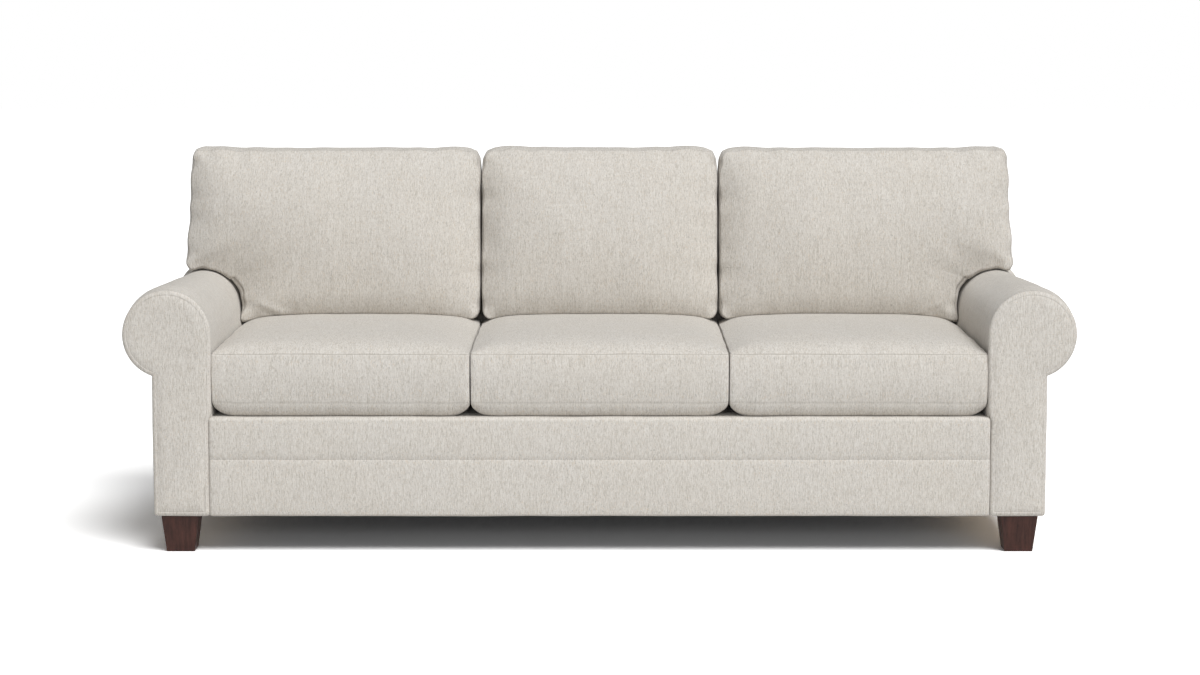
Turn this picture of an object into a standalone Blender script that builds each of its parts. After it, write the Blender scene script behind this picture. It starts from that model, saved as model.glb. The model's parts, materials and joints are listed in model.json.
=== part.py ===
"""Rolled arm sofa for three, with loose seat cushions and loose back cushions.

Metres, +Z up. The front of the sofa faces -Y, and left and right are as someone
standing in front of it sees them. The origin is on the floor, under the middle of
the sofa. Run with: blender --background --python part.py
"""

import math

import bmesh
import bpy
from mathutils import Matrix, Vector

# Places across the sofa: -1 is at the left, 0 in the middle and 1 at the right
SEATS = {"left": -1, "centre": 0, "right": 1}
SIDES = {"left": -1, "right": 1}

# Clearances between pieces, and how far a cutter reaches past what it cuts
FIT_GAP = 0.0003
CUSHION_GAP = 0.004
ARM_GAP = 0.002
EAR_GAP = 0.002
CUTTER_OVERRUN = 0.020

# Seat cushions: a band between two seams, with a crown above and below it
SEAT_CUSHION_WIDTH = 0.625
SEAT_BAND = 0.1265
SEAT_TOP_CROWN = 0.036
SEAT_TOP_REACH = 0.230
SEAT_BOTTOM_CROWN = 0.028
SEAT_BOTTOM_REACH = 0.075
SEAT_BULGE = 0.009
SEAT_WAIST = 0.005
SEAT_SETBACK = 0.004
SEAT_CELL_COUNT = 5

# Back cushions, which stand on the seat cushions and lean on the back
SEAT_DEPTH = 0.604
BACK_CUSHION_THICKNESS = 0.200
BACK_CUSHION_HEIGHT = 0.4665
BACK_BAND = 0.118
BACK_FRONT_REACH = 0.170
BACK_REAR_CROWN = 0.016
BACK_REAR_REACH = 0.060
BACK_BULGE = 0.006
BACK_WAIST = 0.005
EAR_OVERHANG = 0.004
BACK_CELL_COUNT = 5
EAR_CELL_COUNT = 2
NOTCH_CELL_COUNT = 2
SEAM_CREASE = 0.45

# Heights of the body
LEG_HEIGHT = 0.090
BORDER_HEIGHT = 0.243
ROLL_RISE = 0.445
BACK_RISE = 0.507

# Arms
ARM_WIDTH = 0.1405
ROLL_RADIUS = 0.1055
ARM_PAD = 0.014
OUTSIDE_ARM_THICKNESS = 0.008
FRONT_PANEL_THICKNESS = 0.016
FRONT_PANEL_EDGE = 0.005
ARM_BOARD_THICKNESS = 0.018
BASE_RAIL_THICKNESS = 0.030
TACK_RAIL_THICKNESS = 0.018
TACK_RAIL_HEIGHT = 0.080
TACK_RAIL_RISE = 0.270

# Front border, under the seat cushions
BORDER_SETBACK = 0.002
BORDER_LAP = 0.0065
BORDER_PAD = 0.014
BORDER_EDGE_RADIUS = 0.022
BORDER_RETURN = 0.110

# Seat frame, springs and dust cover
RAIL_THICKNESS = 0.025
STRETCHER_HEIGHT = 0.070
STRETCHER_RISE = 0.080
SPRING_COUNT = 5
SPRING_BENDS = 10
SPRING_SPACING = 0.112
SPRING_SWING = 0.042
SPRING_WIRE = 0.0038
SPRING_REST = 0.014
TIE_WIRE = 0.0030
TIE_DEPTH_SHARES = (0.34, 0.66)
TIE_DROP_SHARE = 0.3
DUST_COVER_THICKNESS = 0.002

# Back
BACK_RECLINE = math.radians(10.5)
REAR_LEAN = math.radians(5.0)
BACK_TOP_DEPTH = 0.090
BACK_PAD = 0.018
BACK_END_WALL = 0.014
BACK_TOP_RADIUS = 0.045
BACK_EDGE = 0.005
OUTSIDE_BACK_THICKNESS = 0.010
OUTSIDE_BACK_CORNER = 0.010
POST_THICKNESS = 0.026
TOP_RAIL_HEIGHT = 0.030
SPACER_HEIGHT = 0.060
SPACER_THICKNESS = 0.022
SPACER_RISE = 0.250
WEB_WIDTH = 0.050
WEB_THICKNESS = 0.0016
WEB_RISE_SHARES = (0.22, 0.40, 0.65)

# Legs and the bolts that hold them
LEG_TOP_WIDTH = 0.090
LEG_FOOT_WIDTH = 0.0685
LEG_EDGE = 0.0015
LEG_SIDE_INSET = 0.0145
LEG_FRONT_INSET = 0.012
LEG_REAR_INSET = 0.016
BOLT_DIAMETER = 0.008
BOLT_DEPTH_IN_LEG = 0.040
BOLT_HEAD_DIAMETER = 0.022
BOLT_HEAD_HEIGHT = 0.004

# How finely the round shapes are cut, and how close two points count as one
ROLL_STEPS = 20
CORNER_STEPS = 4
EDGE_STEPS = 2
BOLT_STEPS = 12
WELD = 0.0001
SHARP = math.radians(50)

# Across the sofa
SEAT_PITCH = SEAT_CUSHION_WIDTH + CUSHION_GAP
INNER_HALF = (len(SEATS) * SEAT_PITCH - CUSHION_GAP) / 2 + ARM_GAP
OUTER_HALF = INNER_HALF + ARM_WIDTH
ROLL_X = INNER_HALF + ROLL_RADIUS
WELL_HALF = INNER_HALF - FIT_GAP

# Up the sofa
BODY_BOTTOM = LEG_HEIGHT + FIT_GAP
DECK_TOP = BODY_BOTTOM + BORDER_HEIGHT
ROLL_Z = BODY_BOTTOM + ROLL_RISE
ROLL_TOP = ROLL_Z + ROLL_RADIUS
BACK_TOP = DECK_TOP + BACK_RISE
SEAT_BOTTOM = DECK_TOP + FIT_GAP
SEAT_TOP_SEAM = SEAT_BOTTOM + SEAT_BOTTOM_CROWN + SEAT_BAND
SEAT_TOP = SEAT_TOP_SEAM + SEAT_TOP_CROWN
BACK_CUSHION_TOP = SEAT_TOP_SEAM + BACK_CUSHION_HEIGHT
SPRING_Z = DECK_TOP - BORDER_PAD - FIT_GAP - SPRING_WIRE / 2
RAIL_TOP = SPRING_Z - SPRING_WIRE / 2 - FIT_GAP
RAIL_BOTTOM = BODY_BOTTOM + DUST_COVER_THICKNESS + FIT_GAP

# The underside of each roll runs back to the outside of the arm at this angle
UNDERSIDE = -math.acos((OUTER_HALF - ROLL_X) / ROLL_RADIUS)
UNDERSIDE_Z = ROLL_Z + ROLL_RADIUS * math.sin(UNDERSIDE)


def inside_depth(height):
    """How far behind the front of the sofa the inside of the back is, at this height."""
    rise = height - SEAT_TOP
    return SEAT_DEPTH + BACK_CUSHION_THICKNESS + FIT_GAP + rise * math.tan(BACK_RECLINE)


def rear_depth(height):
    """How far behind the front of the sofa the outside back panel starts."""
    drop = BACK_TOP - height
    return inside_depth(BACK_TOP) + BACK_TOP_DEPTH - drop * math.tan(REAR_LEAN)


# From front to back, with the origin halfway
TOTAL_DEPTH = rear_depth(BACK_TOP) + OUTSIDE_BACK_THICKNESS
FRONT_Y = -TOTAL_DEPTH / 2


def inside_y(height):
    return FRONT_Y + inside_depth(height)


def rear_y(height):
    return FRONT_Y + rear_depth(height)


def post_y(height):
    """The front of the back posts, behind the padding and the webbing."""
    return inside_y(height) + BACK_PAD + WEB_THICKNESS + 2 * FIT_GAP


ARM_FRONT_Y = FRONT_Y + FRONT_PANEL_THICKNESS + FIT_GAP
ARM_BOARD_REAR_Y = ARM_FRONT_Y + ARM_BOARD_THICKNESS
BORDER_Y = FRONT_Y + BORDER_SETBACK
FRONT_RAIL_Y = BORDER_Y + BORDER_PAD + FIT_GAP
FRONT_RAIL_REAR_Y = FRONT_RAIL_Y + RAIL_THICKNESS
REAR_RAIL_REAR_Y = post_y(RAIL_TOP) - FIT_GAP
REAR_RAIL_Y = REAR_RAIL_REAR_Y - RAIL_THICKNESS
LEG_X = OUTER_HALF - LEG_SIDE_INSET - LEG_TOP_WIDTH / 2
LEG_YS = {
    "front": FRONT_Y + LEG_FRONT_INSET + LEG_TOP_WIDTH / 2,
    "rear": rear_y(BODY_BOTTOM) - LEG_REAR_INSET - LEG_TOP_WIDTH / 2,
}

for old in list(bpy.data.objects):
    bpy.data.objects.remove(old, do_unlink=True)


def collection(name):
    made = bpy.data.collections.new(name)
    bpy.context.scene.collection.children.link(made)
    return made


def material(name, colour, roughness, metallic=0.0):
    made = bpy.data.materials.new(name)
    made.use_nodes = True
    made.diffuse_color = (*colour, 1)
    shader = made.node_tree.nodes["Principled BSDF"]
    shader.inputs["Base Color"].default_value = (*colour, 1)
    shader.inputs["Roughness"].default_value = roughness
    shader.inputs["Metallic"].default_value = metallic
    return made


SOFA = collection("rolled_arm_sofa")
CUTTERS = collection("cutters")

OATMEAL = material("oatmeal_fabric", (0.66, 0.62, 0.56), 0.9)
WALNUT = material("walnut_stain", (0.060, 0.018, 0.012), 0.35)
TIMBER = material("frame_timber", (0.62, 0.47, 0.30), 0.7)
STEEL = material("spring_steel", (0.42, 0.42, 0.44), 0.35, 1.0)
WEBBING = material("webbing", (0.20, 0.19, 0.17), 0.85)
DUST_CLOTH = material("dust_cloth", (0.020, 0.020, 0.022), 0.95)
FOAM = material("roll_foam", (0.80, 0.76, 0.60), 0.9)


def add(name, mesh, finish, location=(0, 0, 0)):
    """Adds a mesh to the sofa. Without a finish, it is a cutter or another helper."""
    mesh.name = name
    mesh.materials.clear()
    piece = bpy.data.objects.new(name, mesh)
    piece.location = location
    if finish is None:
        CUTTERS.objects.link(piece)
        piece.hide_render = True
        piece.display_type = "WIRE"
    else:
        SOFA.objects.link(piece)
        mesh.materials.append(finish)
    return piece


def mesh_from(bm):
    mesh = bpy.data.meshes.new("shape")
    bm.to_mesh(mesh)
    bm.free()
    return mesh


def evaluated_bmesh(data):
    """A curve as filled, or a mesh, as a bmesh whose loose caps are joined on."""
    holder = bpy.data.objects.new("holder", data)
    SOFA.objects.link(holder)
    bpy.context.view_layer.update()
    mesh = bpy.data.meshes.new_from_object(holder.evaluated_get(bpy.context.evaluated_depsgraph_get()))
    bpy.data.objects.remove(holder, do_unlink=True)
    bm = bmesh.new()
    bm.from_mesh(mesh)
    bpy.data.meshes.remove(mesh)
    bmesh.ops.remove_doubles(bm, verts=bm.verts, dist=WELD)
    return bm


def poly_curve(name, points, dimensions):
    curve = bpy.data.curves.new(name, "CURVE")
    curve.dimensions = dimensions
    spline = curve.splines.new("POLY")
    spline.points.add(len(points) - 1)
    for point, place in zip(spline.points, points):
        point.co = (*place, 1)
    return curve


def box(name, low, high, finish):
    """A box between two corners, with its origin in its middle."""
    low, high = Vector(low), Vector(high)
    bm = bmesh.new()
    bmesh.ops.create_cube(bm, size=1)
    bmesh.ops.scale(bm, vec=high - low, verts=bm.verts)
    return add(name, mesh_from(bm), finish, (low + high) / 2)


def arc(centre, radius, start, end, steps):
    """Points along an arc, its ends included."""
    angles = [start + (end - start) * k / steps for k in range(steps + 1)]
    return [(centre[0] + radius * math.cos(a), centre[1] + radius * math.sin(a)) for a in angles]


# Columns are where the outline's first axis, its second axis and its thickness go
UPRIGHT_FACING = {
    "X": Matrix(((0, 0, 1, 0), (1, 0, 0, 0), (0, 1, 0, 0), (0, 0, 0, 1))),
    "Y": Matrix(((1, 0, 0, 0), (0, 0, -1, 0), (0, 1, 0, 0), (0, 0, 0, 1))),
}


def plate(name, outline, low, high, finish, facing="Y"):
    """An upright outline made thick, from low to high along the axis that it faces."""
    curve = poly_curve(name, [(across, up, 0) for across, up in outline], "2D")
    curve.splines[0].use_cyclic_u = True
    curve.fill_mode = "BOTH"
    curve.extrude = (high - low) / 2
    bm = evaluated_bmesh(curve)
    bmesh.ops.transform(bm, matrix=UPRIGHT_FACING[facing], verts=bm.verts)
    bmesh.ops.recalc_face_normals(bm, faces=bm.faces)
    middle = (low + high) / 2
    return add(name, mesh_from(bm), finish, (0, middle, 0) if facing == "Y" else (middle, 0, 0))


def lean(piece, angle, height):
    """Slants a piece back by this angle. What is at this height stays in place."""
    slope = math.tan(angle)
    slant = Matrix.Identity(4)
    slant[1][2] = slope
    slant[1][3] = (piece.location.z - height) * slope
    piece.data.transform(slant)
    return piece


def reach_back(piece, clearance):
    """Moves a straight piece's rear end to this clearance from the outside back."""
    rearmost = max(vertex.co.y for vertex in piece.data.vertices)
    for vertex in piece.data.vertices:
        if vertex.co.y > rearmost - WELD:
            height = piece.location.z + vertex.co.z
            vertex.co.y = rear_y(height) - clearance - piece.location.y
    return piece


def change(piece, kind, cutter):
    """Cuts a piece with another, or joins another to it."""
    modifier = piece.modifiers.new(kind.lower() + "_" + cutter.name, "BOOLEAN")
    modifier.operation = kind
    modifier.solver = "EXACT"
    modifier.object = cutter


def round_edges(piece, width, steps=EDGE_STEPS):
    modifier = piece.modifiers.new("rounded", "BEVEL")
    modifier.width = width
    modifier.segments = steps
    modifier.limit_method = "ANGLE"
    modifier.angle_limit = SHARP


def on_side(outline, side):
    """An outline that is drawn for the right, put on this side."""
    return [(side * across, up) for across, up in outline]


def roll_arc(radius):
    """Round the roll, from the inside of the arm over the top to the underside's end."""
    return arc((ROLL_X, ROLL_Z), radius, math.pi, UNDERSIDE, ROLL_STEPS)


def arm_outline(inset, outer_inset, bottom):
    """An arm from the front, drawn in from its surface, or grown where negative."""
    roll = roll_arc(ROLL_RADIUS - inset)
    outer = OUTER_HALF - outer_inset
    step = [(outer, roll[-1][1])] if outer_inset else []
    return [(INNER_HALF + inset, bottom), *roll, *step, (outer, bottom)]


def arm_cutter(name, side, gap):
    """An arm grown by a gap, to cut the pieces that go round it."""
    outline = arm_outline(-gap, -CUTTER_OVERRUN, BODY_BOTTOM - CUTTER_OVERRUN)
    rear = rear_y(BACK_TOP) + CUTTER_OVERRUN
    return plate(name, on_side(outline, side), ARM_FRONT_Y - FIT_GAP, rear, None)


CLOSE_TO_ARM = {name: arm_cutter("close_to_arm_" + name, side, FIT_GAP) for name, side in SIDES.items()}
CLEAR_OF_ARM = {name: arm_cutter("clear_of_arm_" + name, side, EAR_GAP) for name, side in SIDES.items()}


def arm_front_panel(name, side):
    """The scroll-shaped facing on the front of an arm, notched for the border."""
    notch = INNER_HALF + BORDER_LAP
    step = [
        (notch, BODY_BOTTOM),
        (notch, DECK_TOP + FIT_GAP),
        (INNER_HALF, DECK_TOP + FIT_GAP),
    ]
    outline = on_side(step + arm_outline(0, 0, BODY_BOTTOM)[1:], side)
    panel = plate("arm_front_panel_" + name, outline, FRONT_Y, FRONT_Y + FRONT_PANEL_THICKNESS, OATMEAL)
    round_edges(panel, FRONT_PANEL_EDGE)


def arm_cover(name, side):
    """The pad up the inside of an arm and round its roll, and the flat outside panel."""
    outline = [
        (INNER_HALF, BODY_BOTTOM),
        *roll_arc(ROLL_RADIUS),
        *roll_arc(ROLL_RADIUS - ARM_PAD)[::-1],
        (INNER_HALF + ARM_PAD, BODY_BOTTOM),
    ]
    rear = rear_y(BODY_BOTTOM)
    pad = plate("arm_pad_" + name, on_side(outline, side), ARM_FRONT_Y, rear, OATMEAL)
    reach_back(pad, FIT_GAP)

    edges = sorted((side * OUTER_HALF, side * (OUTER_HALF - OUTSIDE_ARM_THICKNESS)))
    panel = box(
        "outside_arm_panel_" + name,
        (edges[0], ARM_FRONT_Y, BODY_BOTTOM),
        (edges[1], rear, UNDERSIDE_Z - FIT_GAP),
        OATMEAL,
    )
    reach_back(panel, FIT_GAP)


def arm_frame(name, side):
    """What holds an arm up: two boards, two rails and the core of its roll."""
    inset = ARM_PAD + FIT_GAP
    outline = on_side(arm_outline(inset, OUTSIDE_ARM_THICKNESS + FIT_GAP, BODY_BOTTOM), side)
    plate("arm_front_board_" + name, outline, ARM_FRONT_Y, ARM_BOARD_REAR_Y, TIMBER)
    rear = rear_y(BODY_BOTTOM) - FIT_GAP
    board = plate("arm_rear_board_" + name, outline, rear - ARM_BOARD_THICKNESS, rear, TIMBER)
    lean(board, REAR_LEAN, BODY_BOTTOM)

    front = ARM_BOARD_REAR_Y + FIT_GAP
    clearance = FIT_GAP + ARM_BOARD_THICKNESS + FIT_GAP
    inner = INNER_HALF + inset
    tack_bottom = BODY_BOTTOM + TACK_RAIL_RISE
    rails = {
        "arm_base_rail_": (OUTER_HALF - OUTSIDE_ARM_THICKNESS - FIT_GAP, BODY_BOTTOM, BASE_RAIL_THICKNESS),
        "arm_tack_rail_": (inner + TACK_RAIL_THICKNESS, tack_bottom, TACK_RAIL_HEIGHT),
    }
    for rail, (outer, bottom, height) in rails.items():
        edges = sorted((side * inner, side * outer))
        low = (edges[0], front, bottom)
        high = (edges[1], rear, bottom + height)
        reach_back(box(rail + name, low, high, TIMBER), clearance)

    radius = ROLL_RADIUS - inset
    underside = arc((ROLL_X, ROLL_Z), radius, UNDERSIDE, -math.pi, ROLL_STEPS // 2)[1:-1]
    circle = on_side(roll_arc(radius) + underside, side)
    reach_back(plate("arm_roll_core_" + name, circle, front, rear, FOAM), clearance)


def leg(end, name, side):
    """A square tapered leg, and the bolt that holds it to the arm's base rail."""
    place = Vector((side * LEG_X, LEG_YS[end], 0))
    half_diagonal_share = math.sqrt(0.5)
    bm = bmesh.new()
    bmesh.ops.create_cone(
        bm,
        cap_ends=True,
        segments=4,
        radius1=LEG_FOOT_WIDTH * half_diagonal_share,
        radius2=LEG_TOP_WIDTH * half_diagonal_share,
        depth=LEG_HEIGHT,
        matrix=Matrix.Rotation(math.radians(45), 4, "Z"),
    )
    timber = add(f"leg_{end}_{name}", mesh_from(bm), WALNUT, place + Vector((0, 0, LEG_HEIGHT / 2)))
    round_edges(timber, LEG_EDGE, 1)

    tip = LEG_HEIGHT - BOLT_DEPTH_IN_LEG
    seat = BODY_BOTTOM + BASE_RAIL_THICKNESS + FIT_GAP
    radius = BOLT_DIAMETER / 2
    profile = [
        (0, seat + BOLT_HEAD_HEIGHT),
        (BOLT_HEAD_DIAMETER / 2, seat + BOLT_HEAD_HEIGHT),
        (BOLT_HEAD_DIAMETER / 2, seat),
        (radius, seat),
        (radius, tip),
        (0, tip),
    ]
    mesh = bpy.data.meshes.new("profile")
    lines = [(k, k + 1) for k in range(len(profile) - 1)]
    mesh.from_pydata([(out, 0, up) for out, up in profile], lines, [])
    turn = add(f"leg_bolt_{end}_{name}", mesh, STEEL, place).modifiers.new("turned", "SCREW")
    turn.steps = turn.render_steps = BOLT_STEPS
    turn.use_merge_vertices = True
    turn.merge_threshold = WELD

    low = tip - FIT_GAP
    high = seat + CUTTER_OVERRUN
    bm = bmesh.new()
    bmesh.ops.create_cone(
        bm,
        cap_ends=True,
        segments=BOLT_STEPS,
        radius1=radius + FIT_GAP,
        radius2=radius + FIT_GAP,
        depth=high - low,
    )
    hole = add(f"bolt_hole_{end}_{name}", mesh_from(bm), None, place + Vector((0, 0, (low + high) / 2)))
    change(timber, "DIFFERENCE", hole)
    change(bpy.data.objects["arm_base_rail_" + name], "DIFFERENCE", hole)


def front_border():
    """The deep padded border across the front, turned back over the front rail."""
    radius = BORDER_EDGE_RADIUS
    centre = (BORDER_Y + radius, DECK_TOP - radius)
    rear = BORDER_Y + BORDER_RETURN
    outline = [
        (BORDER_Y, BODY_BOTTOM),
        *arc(centre, radius, math.pi, math.pi / 2, CORNER_STEPS),
        (rear, DECK_TOP),
        (rear, DECK_TOP - BORDER_PAD),
        *arc(centre, radius - BORDER_PAD, math.pi / 2, math.pi, CORNER_STEPS),
        (BORDER_Y + BORDER_PAD, BODY_BOTTOM),
    ]
    half = WELL_HALF + BORDER_LAP
    border = plate("front_border", outline, -half, half, OATMEAL, facing="X")
    for cutter in CLOSE_TO_ARM.values():
        change(border, "DIFFERENCE", cutter)


def seat_frame():
    """The rails that carry the springs, and the stretchers between them."""
    radius = BORDER_EDGE_RADIUS - BORDER_PAD
    centre = (FRONT_RAIL_Y + radius, RAIL_TOP - radius)
    outline = [
        (FRONT_RAIL_Y, RAIL_BOTTOM),
        *arc(centre, radius, math.pi, math.pi / 2, CORNER_STEPS),
        (FRONT_RAIL_REAR_Y, RAIL_TOP),
        (FRONT_RAIL_REAR_Y, RAIL_BOTTOM),
    ]
    plate("front_rail", outline, -WELL_HALF, WELL_HALF, TIMBER, facing="X")
    low = (-WELL_HALF, REAR_RAIL_Y, RAIL_BOTTOM)
    box("rear_rail", low, (WELL_HALF, REAR_RAIL_REAR_Y, RAIL_TOP), TIMBER)

    front = FRONT_RAIL_REAR_Y + FIT_GAP
    rear = REAR_RAIL_Y - FIT_GAP
    bottom = RAIL_BOTTOM + STRETCHER_RISE
    for name, side in SIDES.items():
        edges = sorted((side * WELL_HALF, side * (WELL_HALF - RAIL_THICKNESS)))
        box("side_rail_" + name, (edges[0], front, RAIL_BOTTOM), (edges[1], rear, RAIL_TOP), TIMBER)
        left = (side * SEAT_PITCH - RAIL_THICKNESS) / 2
        high = (left + RAIL_THICKNESS, rear, bottom + STRETCHER_HEIGHT)
        box("seat_stretcher_" + name, (left, front, bottom), high, TIMBER)


def zigzag(length):
    """The line of a sinuous spring, which runs back from its front end."""
    step = (length - 2 * SPRING_REST) / SPRING_BENDS
    line = [(0, 0), (0, SPRING_REST)]
    for bend in range(SPRING_BENDS):
        swing = SPRING_SWING / 2 * (1 if bend % 2 else -1)
        start = SPRING_REST + step * bend
        line += [(swing, start + step / 4), (swing, start + 3 * step / 4)]
    return line + [(0, length - SPRING_REST), (0, length)]


def wire(points, diameter):
    curve = poly_curve("wire", points, "3D")
    curve.bevel_depth = diameter / 2
    curve.bevel_resolution = 0
    curve.use_fill_caps = True
    return mesh_from(evaluated_bmesh(curve))


def seat_springs(name, column):
    """The sinuous springs under one seat, joined by two wires across them."""
    front = FRONT_RAIL_REAR_Y - SPRING_REST
    length = REAR_RAIL_Y + SPRING_REST - front
    middle = (SPRING_COUNT - 1) / 2 * SPRING_SPACING
    strands = []
    for spring in range(SPRING_COUNT):
        across = spring * SPRING_SPACING - middle
        strands.append(wire([(across + x, y, 0) for x, y in zigzag(length)], SPRING_WIRE))
    reach = middle + SPRING_SWING / 2 + SPRING_WIRE
    drop = TIE_DROP_SHARE * SPRING_WIRE
    for share in TIE_DEPTH_SHARES:
        depth = share * length
        strands.append(wire([(-reach, depth, -drop), (reach, depth, -drop)], TIE_WIRE))
    place = (column * SEAT_PITCH, front, SPRING_Z)
    springs = add("seat_springs_" + name, strands[0], STEEL, place)
    for number, strand in enumerate(strands[1:]):
        change(springs, "UNION", add(f"strand_{name}_{number}", strand, None, place))


def seat_cloths():
    """The padded deck over the springs, and the thin cloth that closes the underside."""
    bottom = DECK_TOP - BORDER_PAD
    low = (-WELL_HALF, BORDER_Y + BORDER_RETURN + FIT_GAP, bottom)
    box("seat_deck", low, (WELL_HALF, inside_y(bottom) - FIT_GAP, DECK_TOP), OATMEAL)
    low = (-WELL_HALF, FRONT_RAIL_Y, BODY_BOTTOM)
    high = (WELL_HALF, rear_y(BODY_BOTTOM) - FIT_GAP, BODY_BOTTOM + DUST_COVER_THICKNESS)
    box("dust_cover", low, high, DUST_CLOTH)


def back_outline(inset, bottom, clearance):
    """The back from the side, drawn in by an inset, with its top front edge rounded."""
    top = BACK_TOP - inset
    radius = BACK_TOP_RADIUS - inset
    centre_z = top - radius
    centre = (inside_y(centre_z) + inset + radius / math.cos(BACK_RECLINE), centre_z)
    return [
        (inside_y(bottom) + inset, bottom),
        *arc(centre, radius, math.pi - BACK_RECLINE, math.pi / 2, CORNER_STEPS),
        (rear_y(top) - clearance, top),
        (rear_y(bottom) - clearance, bottom),
    ]


def inside_back():
    """The padded front, top and ends of the back, which goes over both arms."""
    bottom = DECK_TOP - BORDER_PAD
    cover = plate("inside_back", back_outline(0, bottom, FIT_GAP), -OUTER_HALF, OUTER_HALF, OATMEAL, "X")
    round_edges(cover, BACK_EDGE)
    half = OUTER_HALF - BACK_END_WALL
    outline = back_outline(BACK_PAD, bottom - CUTTER_OVERRUN, -CUTTER_OVERRUN)
    change(cover, "DIFFERENCE", plate("inside_back_hollow", outline, -half, half, None, "X"))
    for cutter in CLOSE_TO_ARM.values():
        change(cover, "DIFFERENCE", cutter)


def outside_back():
    """The flat panel across the rear, which also closes the rear ends of the rolls."""
    corner = OUTSIDE_BACK_CORNER
    right = [
        (OUTER_HALF, BODY_BOTTOM),
        *arc((ROLL_X, ROLL_Z), ROLL_RADIUS, UNDERSIDE, -UNDERSIDE, ROLL_STEPS),
        *arc((OUTER_HALF - corner, BACK_TOP - corner), corner, 0, math.pi / 2, CORNER_STEPS),
    ]
    front = rear_y(BODY_BOTTOM)
    outline = right + on_side(right, -1)[::-1]
    panel = plate("outside_back", outline, front, front + OUTSIDE_BACK_THICKNESS, OATMEAL)
    lean(panel, REAR_LEAN, BODY_BOTTOM)


def back_frame():
    """Sawn posts between the rear rail and the top rail, tied by spacers."""
    inset = BACK_PAD + FIT_GAP
    rail_bottom = BACK_TOP - inset - TOP_RAIL_HEIGHT
    half = OUTER_HALF - BACK_END_WALL - FIT_GAP
    plate("back_top_rail", back_outline(inset, rail_bottom, FIT_GAP), -half, half, TIMBER, "X")

    top = rail_bottom - FIT_GAP
    foot = REAR_RAIL_REAR_Y + FIT_GAP
    outline = [
        (foot, RAIL_BOTTOM),
        (foot, RAIL_TOP),
        (post_y(top), top),
        (rear_y(top) - FIT_GAP, top),
        (rear_y(RAIL_BOTTOM) - FIT_GAP, RAIL_BOTTOM),
    ]
    outer = WELL_HALF - RAIL_THICKNESS - POST_THICKNESS / 2
    inner = SEAT_PITCH / 2
    posts = {"outer_left": -outer, "inner_left": -inner, "inner_right": inner, "outer_right": outer}
    half = POST_THICKNESS / 2
    for name, middle in posts.items():
        plate("back_post_" + name, outline, middle - half, middle + half, TIMBER, "X")

    bottom = DECK_TOP + SPACER_RISE
    front = post_y(bottom + SPACER_HEIGHT)
    clear = half + FIT_GAP
    middles = list(posts.values())
    for name, left, right in zip(SEATS, middles, middles[1:]):
        low = (left + clear, front, bottom)
        high = (right - clear, front + SPACER_THICKNESS, bottom + SPACER_HEIGHT)
        box("back_spacer_" + name, low, high, TIMBER)


def back_webbing():
    """Straps across the posts, behind the padding of the inside back."""
    half = WELL_HALF - RAIL_THICKNESS
    for number, share in enumerate(WEB_RISE_SHARES, 1):
        bottom = DECK_TOP + share * BACK_RISE
        front = inside_y(bottom) + BACK_PAD + FIT_GAP
        high = (half, front + WEB_THICKNESS, bottom + WEB_WIDTH)
        lean(box(f"back_web_{number}", (-half, front, bottom), high, WEBBING), BACK_RECLINE, bottom)


def spread(start, end, cells):
    """Places at equal steps from start to end, both included."""
    return [start + (end - start) * k / cells for k in range(cells + 1)]


def puff(distance, reach):
    """How far up its crown a cushion is: 0 at its seam, 1 at this reach from it."""
    return 1 - (1 - min(distance / reach, 1)) ** 2


def distance_to(line, point):
    """How far a point is from a line between two points."""
    start, end = line
    share = (point - start).dot(end - start) / (end - start).length_squared
    return (point - start - min(max(share, 0), 1) * (end - start)).length


def raise_copy(bm, faces, height):
    """Extrudes faces upwards and returns their raised copies. The faces stay too."""
    grown = bmesh.ops.extrude_face_region(bm, geom=faces)["geom"]
    raised = [item for item in grown if isinstance(item, bmesh.types.BMVert)]
    bmesh.ops.translate(bm, vec=(0, 0, height), verts=raised)
    return [item for item in grown if isinstance(item, bmesh.types.BMFace)]


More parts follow.
